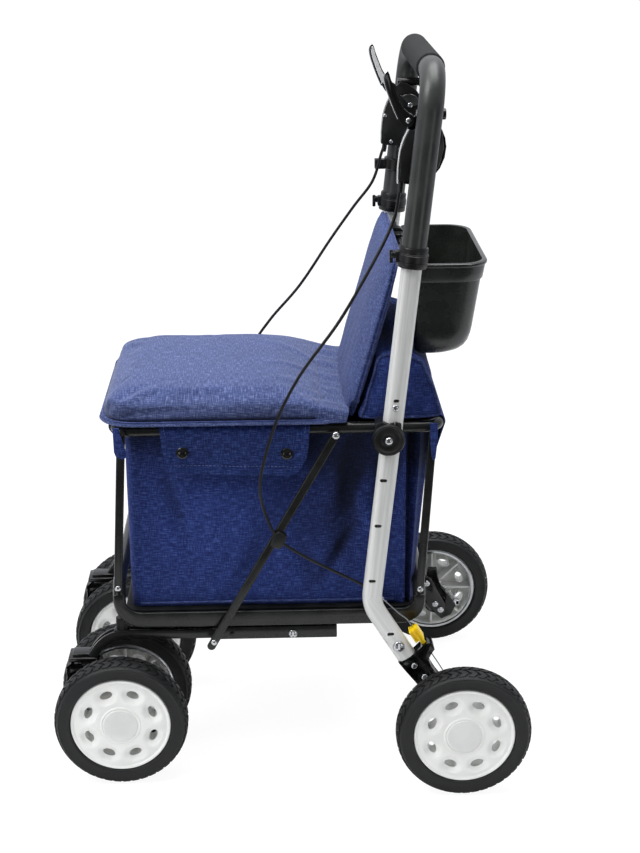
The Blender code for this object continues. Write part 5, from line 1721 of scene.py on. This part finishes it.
def makeSeat():
    # Board wrapped in cloth: the thin binding that shows below the cushion.
    base = plateShape(
        "seatBase", roundedPlan(0.1592, -0.2436, 0.057, 0.046, 0.01), 0.4985, 0.5034, 0.002, 4, plane="XY"
    )
    clothUv(base)
    finishPiece(paint(base, litSeatCloth), "seat_board").name = "seatBinding"
    board = plateShape(
        "seatUnderside", roundedPlan(0.15, -0.234, 0.056, 0.04, 0.008), 0.4971, 0.4992, 0.0006, 1, plane="XY"
    )
    finishPiece(paint(board, blackNylon), "seat_board", stands=False)
    plan = roundedPlan(seatForm["half"], seatForm["front"], seatForm["rear"], seatForm["corner"], 0.016)
    pad = plateShape("seatPad", plan, seatForm["low"], seatForm["high"], 0.0075, 4, plane="XY")
    applyModifier(pad, "REMESH", mode="VOXEL", voxel_size=seatForm["voxel"])
    for vert in pad.data.vertices:
        x, y, z = vert.co
        u = x / seatForm["half"]
        v = (y - (seatForm["front"] + seatForm["rear"]) / 2) / ((seatForm["rear"] - seatForm["front"]) / 2)
        lift = max(0.0, (z - seatForm["low"]) / (seatForm["high"] - seatForm["low"]))
        crown = (1 - abs(u) ** 3.4) * (1 - abs(v) ** 3.4)
        fall = max(0.0, (y + 0.015) / (seatForm["rear"] + 0.015)) ** 1.7
        vert.co.z = z + lift * (seatForm["crown"] * crown - 0.0105 * fall)
        creases = 0.0
        if y > -0.05:
            for slope, offset in ((0.55, 0.06), (0.3, 0.104), (-0.45, -0.04), (0.25, 0.01), (0.75, 0.128)):
                line = x - offset - slope * (0.05 - y)
                creases += 0.0024 * bell(line / 0.0065)
            creases *= min(1.0, (y + 0.05) / 0.05)
        vert.co.z += lift * creases
    swell(pad, seatForm, lambda p: p.z < 0.5065 or p.y > 0.047)
    applyModifier(pad, "SUBSURF", levels=1, render_levels=1)
    clothUv(pad)
    # Painted shade: the cushion's side band is darker than its top, as the light falls from above.
    shade = pad.data.attributes.new("paintedShade", "FLOAT", "POINT")
    for k, vert in enumerate(pad.data.vertices):
        side = limited((0.53 - vert.co.z) / 0.01) * limited((0.02 - vert.co.y) / 0.03)
        shade.data[k].value = -0.26 * side
    finishPiece(paint(pad, litSeatCloth), "seat_cushion", 60.0)
    outer = roundedPlan(0.1574, -0.2419, 0.054, 0.045, 0.012)
    seam = [Vector((x, y, 0.5042)) for x, y in outer if y < 0.046]
    pipingShape("seatPiping", seam, 0.0011, "seat_lid")
    row = [Vector((x, y, 0.501)) for x, y in roundedPlan(0.1595, -0.2439, 0.0574, 0.046, 0.01, 14)]
    stitchRow("seatStitching", row, "seat_lid")


def makeHingeStrip():
    # Cloth that carries the seat cover up to the foot of the backrest, with a gusset at each end.
    half, foot, high, corner = 0.154, 0.4992, 0.5128, 0.006
    section = [(half, foot), (half, high - corner)]
    section += arcPoints((half - corner, high - corner), corner, 15, 75, 4)
    section += [((half - corner) * (1 - k / 24), high) for k in range(25)]
    section += [(-x, z) for x, z in section[-2::-1]]

    def place(u, v):
        x, z = section[round(u * (len(section) - 1))]
        ripple = 0.0013 * math.sin(x * 95 + 1.0) + 0.0009 * math.sin(x * 210)
        swellUp = math.sin(v * math.pi)
        top = max(0.0, (z - foot) / (high - foot))
        z = z + top * (swellUp * ripple + 0.0092 * (1 - v) ** 1.4)
        back = 0.0765 + (z - 0.499) * 0.2803
        return (x + math.copysign(0.0012, x) * swellUp * (1 - top), 0.037 + v * (back - 0.037), z)

    strip = gridShape("seatHingeStrip", len(section) - 1, 12, place)
    cleanMesh(strip)
    applyModifier(strip, "SOLIDIFY", thickness=0.0016, offset=-1.0)
    clothUv(strip)
    paint(strip, litSeatCloth)
    smoothShade(strip, 60.0)
    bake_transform(strip)


backForm = {
    "half": 0.15, "length": 0.231, "thick": 0.012, "corner": 0.042, "foot": (0.0748, 0.499), "lean": 15.66,
    "voxel": 0.005, "pressure": 4.0, "cap": 0.005, "bending": 1.5,
}
leanAngle = math.radians(backForm["lean"])
backUp = Vector((0, math.sin(leanAngle), math.cos(leanAngle)))
backRear = Vector((0, math.cos(leanAngle), -math.sin(leanAngle)))
backMatrix = Matrix(
    (
        (1, 0, 0, 0), (0, backUp.y, backRear.y, backForm["foot"][0]),
        (0, backUp.z, backRear.z, backForm["foot"][1]), (0, 0, 0, 1),
    )
)


def backOutline(inset=0.0, steps=10):
    half, top, corner = backForm["half"] - inset, backForm["length"] - inset, backForm["corner"] - inset
    outline = [
        (-0.131, inset), (0.131, inset), (0.1335, 0.01), (0.1352, 0.0235), (half - 0.004, 0.0285),
        (half, 0.034),
    ]
    outline += arcPoints((half - corner, top - corner), corner, 0, 90, steps)
    outline += arcPoints((-half + corner, top - corner), corner, 90, 180, steps)
    outline += [(-half, 0.034), (-half + 0.004, 0.0285), (-0.1352, 0.0235), (-0.1335, 0.01)]
    return outline


def makeBackrest():
    # Made flat: X across, Y up the panel, Z from front to rear, then leaned into place.
    thick = backForm["thick"]
    pad = plateShape("backPad", backOutline(0.0015), 0.001, 0.001 + thick, 0.0035, 3, plane="XY")
    applyModifier(pad, "REMESH", mode="VOXEL", voxel_size=backForm["voxel"])
    for vert in pad.data.vertices:
        x, y, z = vert.co
        u = x / backForm["half"]
        front = 1 - (z - 0.001) / thick
        folds = 0.0
        for k, (spot, depth) in enumerate(
            (
                (-0.115, 1.0), (-0.07, 0.7), (-0.028, 0.9), (0.018, 0.7), (0.062, 1.0), (0.098, 0.8),
                (0.122, 1.1),
            )
        ):
            line = x - spot - 0.1 * (y - 0.08) * (1 if k % 2 else -1)
            folds += depth * 0.0017 * bell(line / 0.0075)
        folds *= max(0.0, 1 - y / 0.17) ** 0.7
        vert.co.z = z - front * (0.003 * (1 - abs(u) ** 3) + folds)
    swell(
        pad, backForm,
        lambda p: abs(p.z - 0.007) < 0.004 and (abs(p.x) > 0.125 or p.y < 0.006 or p.y > 0.205),
    )
    applyModifier(pad, "SUBSURF", levels=1, render_levels=1)
    pad.data.transform(backMatrix)
    clothUv(pad)
    clips = []
    for label, side in sides:
        low, high = span(side, 0.07, 0.086)
        clip = plateShape(
            "backClip",
            [(0.14, 0.689), (0.162, 0.686), (0.166, 0.69), (0.166, 0.7), (0.162, 0.704), (0.144, 0.706)],
            low, high, 0.0012, 2,
        )
        cutAway(clip, rodShape("clipRoom", 0.0053, -0.02, 0.02, (side * 0.078, 0.158, 0.695), (1, 0, 0), 24))
        clips.append(paint(clip, blackNylon))
    finishPiece(paint(pad, litBackCloth), "backrest", 60.0).name = "backrestPad"
    finishPiece(joinPieces("backrestClips", clips), "backrest", stands=False)
    for tag, depth in (("Front", 0.0022), ("Rear", 0.012)):
        line = [backMatrix @ Vector((x, y, depth)) for x, y in backOutline(-0.002, 14)]
        line = hugPad(pad, line, 0.0005)
        pipingShape("backPiping" + tag, line, 0.0015, "backrest", True)


pouchForm = {
    "half": 0.147, "voxel": 0.0055, "pressure": 3.0, "cap": 0.006, "bending": 0.4, "shrink": -0.03,
    "foldTo": (0, 0.15, 0.4975),
}
pouchOutline = [
    (0.0915, 0.499), (0.104, 0.543), (0.115, 0.584), (0.124, 0.5893), (0.139, 0.5905), (0.154, 0.5888),
    (0.166, 0.585), (0.1765, 0.5785), (0.184, 0.561), (0.1907, 0.544), (0.1975, 0.527), (0.2022, 0.512),
    (0.2016, 0.505), (0.1975, 0.5002),
]


def makePouch():
    pad = plateShape("pouchPad", pouchOutline, -pouchForm["half"], pouchForm["half"], 0.004, 3)
    applyModifier(pad, "REMESH", mode="VOXEL", voxel_size=pouchForm["voxel"])
    for vert in pad.data.vertices:
        x, y, z = vert.co
        if abs(x) > 0.143:
            fold = 0.0022 * math.sin((y - 0.4 * z) * 190) + 0.0016 * math.sin((y + z) * 120)
            vert.co.x += math.copysign(1.0, x) * (
                fold * math.sin(limited((z - 0.5) / 0.08) * math.pi) - 0.001
            )
        limit = 0.165 + 0.03 * limited((0.574 - z) / 0.022)
        if abs(x) < 0.13 and y > limit - 0.006:  # the basket leans on it here
            share = min(1.0, (0.13 - abs(x)) / 0.01)
            vert.co.y = y + share * (min(y, limit - 0.006 + 0.15 * (y - limit + 0.006)) - y)
    rim = [(p.y, p.z) for p in smoothPath([(0, y, z) for y, z in (*pouchOutline, pouchOutline[0])], 4)]

    def nearRim(p):
        return abs(p.x) > 0.143 and min(
            (p.y - a) ** 2 + (p.z - b) ** 2 for a, b in rim
        ) < 0.006**2 or p.z < 0.503

    swell(pad, pouchForm, nearRim)
    applyModifier(pad, "SUBSURF", levels=1, render_levels=1)
    clothUv(pad)
    finishPiece(paint(pad, bagCloth), "rear_pouch", 60.0)
    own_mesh(pad)
    for label, side in sides:
        line = smoothPath([(side * 0.15, y, z) for y, z in (*pouchOutline, pouchOutline[0])], 4)
        line = hugPad(pad, line, 0.0006)
        piping = pipingShape("pouchPiping_" + label, line, 0.0019, "seat_frame")
        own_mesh(piping)


makeSeat()
makeHingeStrip()
makeBackrest()
makePouch()
print("pads made")

bagForm = {
    "half": 0.1331, "front": -0.212, "rearTop": 0.188, "rearFoot": 0.169, "top": 0.488, "low": 0.2343,
    "corner": 0.014, "wall": 0.0018, "pleat": 0.004, "foldTo": (0, 0, 0.488),
}


# Hollows of the slack side: place along Y, lean, half width, depth, height and reach.
bagFolds = [
    (0.084, 0.16, 0.015, 0.019, 0.42, 0.06), (0.062, 0.55, 0.0095, 0.0125, 0.302, 0.042),
    (0.124, 0.0, 0.0085, 0.012, 0.37, 0.085), (0.03, -0.3, 0.011, 0.0075, 0.285, 0.03),
    (-0.05, 0.45, 0.012, 0.008, 0.29, 0.04), (-0.148, -0.25, 0.009, 0.006, 0.38, 0.06),
    (0.144, 0.05, 0.0055, 0.007, 0.4, 0.09), (-0.105, 0.6, 0.008, 0.0045, 0.265, 0.025),
]


def bagPlan():
    # One side of the plan from the front middle to the rear middle, with the piped pleat at the rear.
    half, corner = bagForm["half"], bagForm["corner"]
    line = [(0.0, bagForm["front"]), (half - corner, bagForm["front"])]
    line += arcPoints((half - corner, bagForm["front"] + corner), corner, -90, 0, 5)[1:]
    line += [
        (half, 0.144), (half + 0.001, 0.15), (half + 0.0034, 0.1524), (half + bagForm["pleat"], 0.154),
        (half + 0.0022, 0.1556), (half - 0.008, 0.1566), (half - 0.012, 0.16), (half - 0.007, 0.165),
        (half - 0.001, 0.169), (half - 0.0006, 0.1712), (half - 0.006, 0.174), (half - 0.011, 0.177),
        (half - 0.013, 0.1805), (half - 0.018, 0.1824), (half - 0.03, 0.1825), (0.0, 0.1825),
    ]
    points, step = [], 0.0062
    for a, b in zip(line, line[1:]):
        run = math.dist(a, b)
        count = max(1, round(run / step))
        points += [
            (a[0] + (b[0] - a[0]) * k / count, a[1] + (b[1] - a[1]) * k / count) for k in range(count)
        ]
    points.append(line[-1])
    return points


def makeBag():
    right = bagPlan()
    plan = right + [(-x, y) for x, y in right[-2:0:-1]]
    count, rows, under = len(plan), 38, 5

    def place(u, v):
        x, y = plan[round(u * count) % count]
        row = round(v * (rows + under))
        if row < under:  # the folded-in floor
            shrink = row / under
            return (
                x * (0.05 + 0.93 * shrink),
                -0.02 + (min(y, bagForm["rearFoot"]) + 0.02) * (0.05 + 0.93 * shrink), bagForm["low"],
            )
        t = (row - under) / rows
        z = bagForm["low"] + (bagForm["top"] - bagForm["low"]) * t
        if y > 0.156:
            rear = bagForm["rearFoot"] + (
                bagForm["rearTop"] - bagForm["rearFoot"]
            ) * limited((z - 0.262) / 0.19)
            y = 0.156 + (y - 0.156) * (rear - 0.156) / (0.1825 - 0.156)
        side = math.copysign(1.0, x)
        if abs(x) > bagForm["half"] - 0.01 and -0.206 < y < 0.158:
            ease = math.sin(math.pi * limited(t)) ** 0.7 * min(1.0, (y + 0.206) / 0.03) * min(
                1.0, (0.158 - y) / 0.02,
            )
            bulge = 0.006 * math.exp(-(((y + 0.095) / 0.075) ** 2 + ((z - 0.34) / 0.075) ** 2))
            bulge += 0.004 * math.exp(-(((y - 0.02) / 0.05) ** 2 + ((z - 0.285) / 0.05) ** 2))
            for at, lean, wide, deep, mid, tall in bagFolds:
                line = (y - at - lean * (z - mid)) / wide
                bulge -= deep * math.exp(-(line * line) - ((z - mid) / tall) ** 2)
            slant = y + 0.35 * (z - 0.36)
            bulge += 0.0042 * bell((slant - 0.104) / 0.007) * bell((z - 0.36) / 0.06)
            bulge += 0.0016 * bell((slant + 0.172) / 0.008) * bell((z - 0.3) / 0.05)
            coarse = noise.noise(Vector((y * 9.0 + side * 5, z * 4.0, 1.7)))
            fine = noise.noise(Vector((y * 26.0, z * 13.0 + side * 3, 4.1)))
            drape = coarse * 0.0056 + fine * 0.0024
            x += side * ease * (bulge + drape)
        if y < -0.206 or y > 0.16:
            drape = noise.noise(Vector((x * 11.0, z * 6.0, 8.3))) * 0.003 * math.sin(math.pi * min(1.0, t))
            y += drape if y > 0 else -abs(drape) * 0.6
        low = bell(t / 0.035)
        return (x - side * 0.0012 * low * min(1.0, abs(x) / 0.05), y, z)

    bag = gridShape("bagCloth", count, rows + under, place)
    cleanMesh(bag, 0.0001)
    applyModifier(bag, "SOLIDIFY", thickness=bagForm["wall"], offset=-1.0)
    clothUv(bag)
    # Painted shade on the bag's side: darker where the cloth sinks into a hollow, under the seat's overhang
    # and behind the strut.
    shade = bag.data.attributes.new("paintedShade", "FLOAT", "POINT")
    for k, vert in enumerate(bag.data.vertices):
        x, y, z = vert.co
        sunk = bagForm["half"] - abs(x)
        if sunk > (0.03 if y < 0.156 else 0.0165) or y < -0.205:
            continue
        depth = sunk / (0.0105 if y < 0.156 else 0.03)
        behindStrut = limited((y - 0.01) / 0.03)
        overhang = limited((z - 0.435 + 0.035 * behindStrut) / 0.04)
        shade.data[k].value = max(-0.82, min(0.12, -0.66 * depth - 0.6 * overhang))
    finishPiece(paint(bag, bagCloth), "bag", 50.0)
    # Cut as one cross: the floor of 0.40 by 0.27 m with four walls of 0.25 m, plus the two pleats.
    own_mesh(bag)
    for label, side in sides:
        path = [
            Vector((side * (bagForm["half"] + bagForm["pleat"]), 0.154, 0.242 + 0.0085 * k))
            for k in range(28)
        ]
        piping = pipingShape("bagPiping_" + label, path, 0.0016, "seat_frame", material=bagCloth)
        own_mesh(piping)
        hem = [Vector((side * 0.1338, -0.2 + 0.0122 * k, 0.2395)) for k in range(29)]
        hemPiping = pipingShape("bagHem_" + label, hem, 0.0017, "seat_frame")
        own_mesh(hemPiping)


flapForm = {"top": (-0.165, 0.0305), "lowLeft": -0.16, "lowRight": 0.026, "corner": 0.024, "wall": 0.002}
flapSection = [
    (0.145, 0.4975), (0.1508, 0.4935), (0.1526, 0.4885), (0.152, 0.48), (0.1496, 0.468), (0.1474, 0.452),
    (0.1462, 0.43),
]


def flapPoint(y, s, side, lift=0.0):
    # s is the way down the flap's section from 0 to 1.
    spot = s * (len(flapPath) - 1)
    k = min(int(spot), len(flapPath) - 2)
    place = flapPath[k] * (1 - (spot - k)) + flapPath[k + 1] * (spot - k)
    run = (flapPath[k + 1] - flapPath[k]).normalized()
    outward = Vector((-run.z, 0, run.x))
    sag = 0.001 * math.sin(y * 70) * s + 0.0008 * math.sin(y * 33 + 1)
    drop = -0.006 * s * (y + 0.164) / 0.195
    place = place + outward * (lift + sag)
    return Vector((side * place.x, y, place.z + drop))


flapPath = smoothPath([(x, 0, z) for x, z in flapSection], 6)
flapLength = sum((b - a).length for a, b in zip(flapPath, flapPath[1:]))


def flapEdges(s, inset=0.0):
    down = s * flapLength
    left = flapForm["top"][0] + (flapForm["lowLeft"] - flapForm["top"][0]) * s
    right = flapForm["top"][1] + (flapForm["lowRight"] - flapForm["top"][1]) * s
    corner = flapForm["corner"]
    over = max(0.0, down - (flapLength - corner)) / corner
    cut = corner * (1 - math.sqrt(max(0.0, 1 - over * over)))
    return left + cut + inset, right - cut - inset


def makeFlap(label, side):
    def place(u, v):
        left, right = flapEdges(v)
        edge = min(u, 1 - u) * (right - left)
        lift = 0.0011 if edge < 0.006 or v > 0.93 else 0.0
        return flapPoint(left + (right - left) * u, v, side, lift)

    flap = gridShape("pocketFlap_" + label, 64, 40, place)
    activate(flap)
    if side > 0:
        flap.data.flip_normals()
    applyModifier(flap, "SOLIDIFY", thickness=flapForm["wall"], offset=0.0)
    clothUv(flap)
    finishPiece(paint(flap, shadedFlapCloth), "pocket_flap_" + label, 60.0)
    track = []
    inset = 0.0065
    lowS = 1 - inset / flapLength
    for k in range(20):
        s = 0.1 + (lowS - 0.1) * k / 19
        track.append(flapPoint(flapEdges(s)[0] + inset * 0.9, s, side, 0.0014))
    left, right = flapEdges(lowS)
    for k in range(1, 30):
        track.append(flapPoint(left + inset + (right - left - 2 * inset) * k / 30, lowS, side, 0.0014))
    for k in range(20):
        s = lowS - (lowS - 0.1) * k / 19
        track.append(flapPoint(flapEdges(s)[1] - inset * 0.9, s, side, 0.0014))
    stitchRow("flapStitching_" + label, track, "seat_frame")
    for tag, y, s in (("Front", -0.1356, 0.745), ("Rear", -0.0002, 0.745)):
        spot = flapPoint(y, s, side, 0.001)
        outward = Vector((side * 0.98, 0, 0.18))
        cap = latheShape(
            f"snap{tag}_{label}",
            [
                (0, 0), (0.008, 0), (0.0083, 0.0008), (0.0078, 0.002), (0.0062, 0.0029), (0.0052, 0.0027),
                (0.0047, 0.0029), (0.0024, 0.0037), (0, 0.0039),
            ],
            spot, outward, 32,
        )
        finishExtra(paint(cap, glossNylon), "seat_frame")


strapForms = {
    "Front": [
        (-0.2232, 0.4982), (-0.2226, 0.466), (-0.2206, 0.4598), (-0.216, 0.4564), (-0.2104, 0.456),
        (-0.2068, 0.459), (-0.2066, 0.465), (-0.2104, 0.478), (-0.214, 0.49), (-0.215, 0.4982),
    ],
    "Rear": [
        (0.1842, 0.4982), (0.1852, 0.47), (0.187, 0.452), (0.189, 0.447), (0.1914, 0.4474), (0.1924, 0.452),
        (0.1934, 0.464), (0.1942, 0.48), (0.1946, 0.4982),
    ],
}


def makeStraps(label, side):
    # Short straps that hang from the ring's corners and hold the bag's side.
    for tag, outline in strapForms.items():
        strap = plateShape(f"bagStrap{tag}_{label}", outline, *span(side, 0.1579, 0.1599), 0.0006, 2)
        for vert in strap.data.vertices:
            vert.co.x += side * 0.0012 * math.sin(max(0.0, 0.498 - vert.co.z) * 70)
        clothUv(strap)
        finishExtra(paint(strap, bagCloth), "seat_frame", 60.0)


def makeSleeve(tag, barY, lowZ, tuck, way):
    # A hem folded round the ring's crossbar and sewn together below it.
    barZ, radius = 0.4885, 0.0098
    arc = arcPoints((barY, barZ), radius, -25, 205, 16)
    foot, last = Vector((tuck, lowZ)), Vector((tuck + way * 0.0035, lowZ))
    rise, fall = Vector(arc[0]), Vector(arc[-1])
    section = [tuple(foot.lerp(rise, k / 5)) for k in range(5)] + arc
    section += [tuple(fall.lerp(last, k / 5)) for k in range(1, 6)]
    half = 0.1235

    def place(u, v):
        y, z = section[round(v * (len(section) - 1))]
        x = (u - 0.5) * 2 * half
        low = max(0.0, (barZ - 0.012 - z) / 0.03)
        return (x, y + 0.0009 * low * math.sin(x * 62 + barY * 40), z + 0.0012 * low * math.sin(x * 31))

    sleeve = gridShape("bagSleeve" + tag, 60, len(section) - 1, place)
    cleanMesh(sleeve)
    applyModifier(sleeve, "SOLIDIFY", thickness=0.0014, offset=0.0)
    clothUv(sleeve)
    finishExtra(paint(sleeve, bagCloth), "seat_frame", 60.0)
    length = sum(math.dist(a, b) for a, b in zip(section, section[1:]))


makeBag()
for label, side in sides:
    makeFlap(label, side)
    makeStraps(label, side)
makeSleeve("Front", -0.2215, 0.474, -0.219, -1)
makeSleeve("Rear", 0.1975, 0.441, 0.1925, -1)
print("bag made")

# Fasteners are joined for each body

for body, heads in fasteners.items():
    finishExtra(joinPieces("fasteners_" + body, heads), body)
for template in templates:
    bpy.data.objects.remove(template)
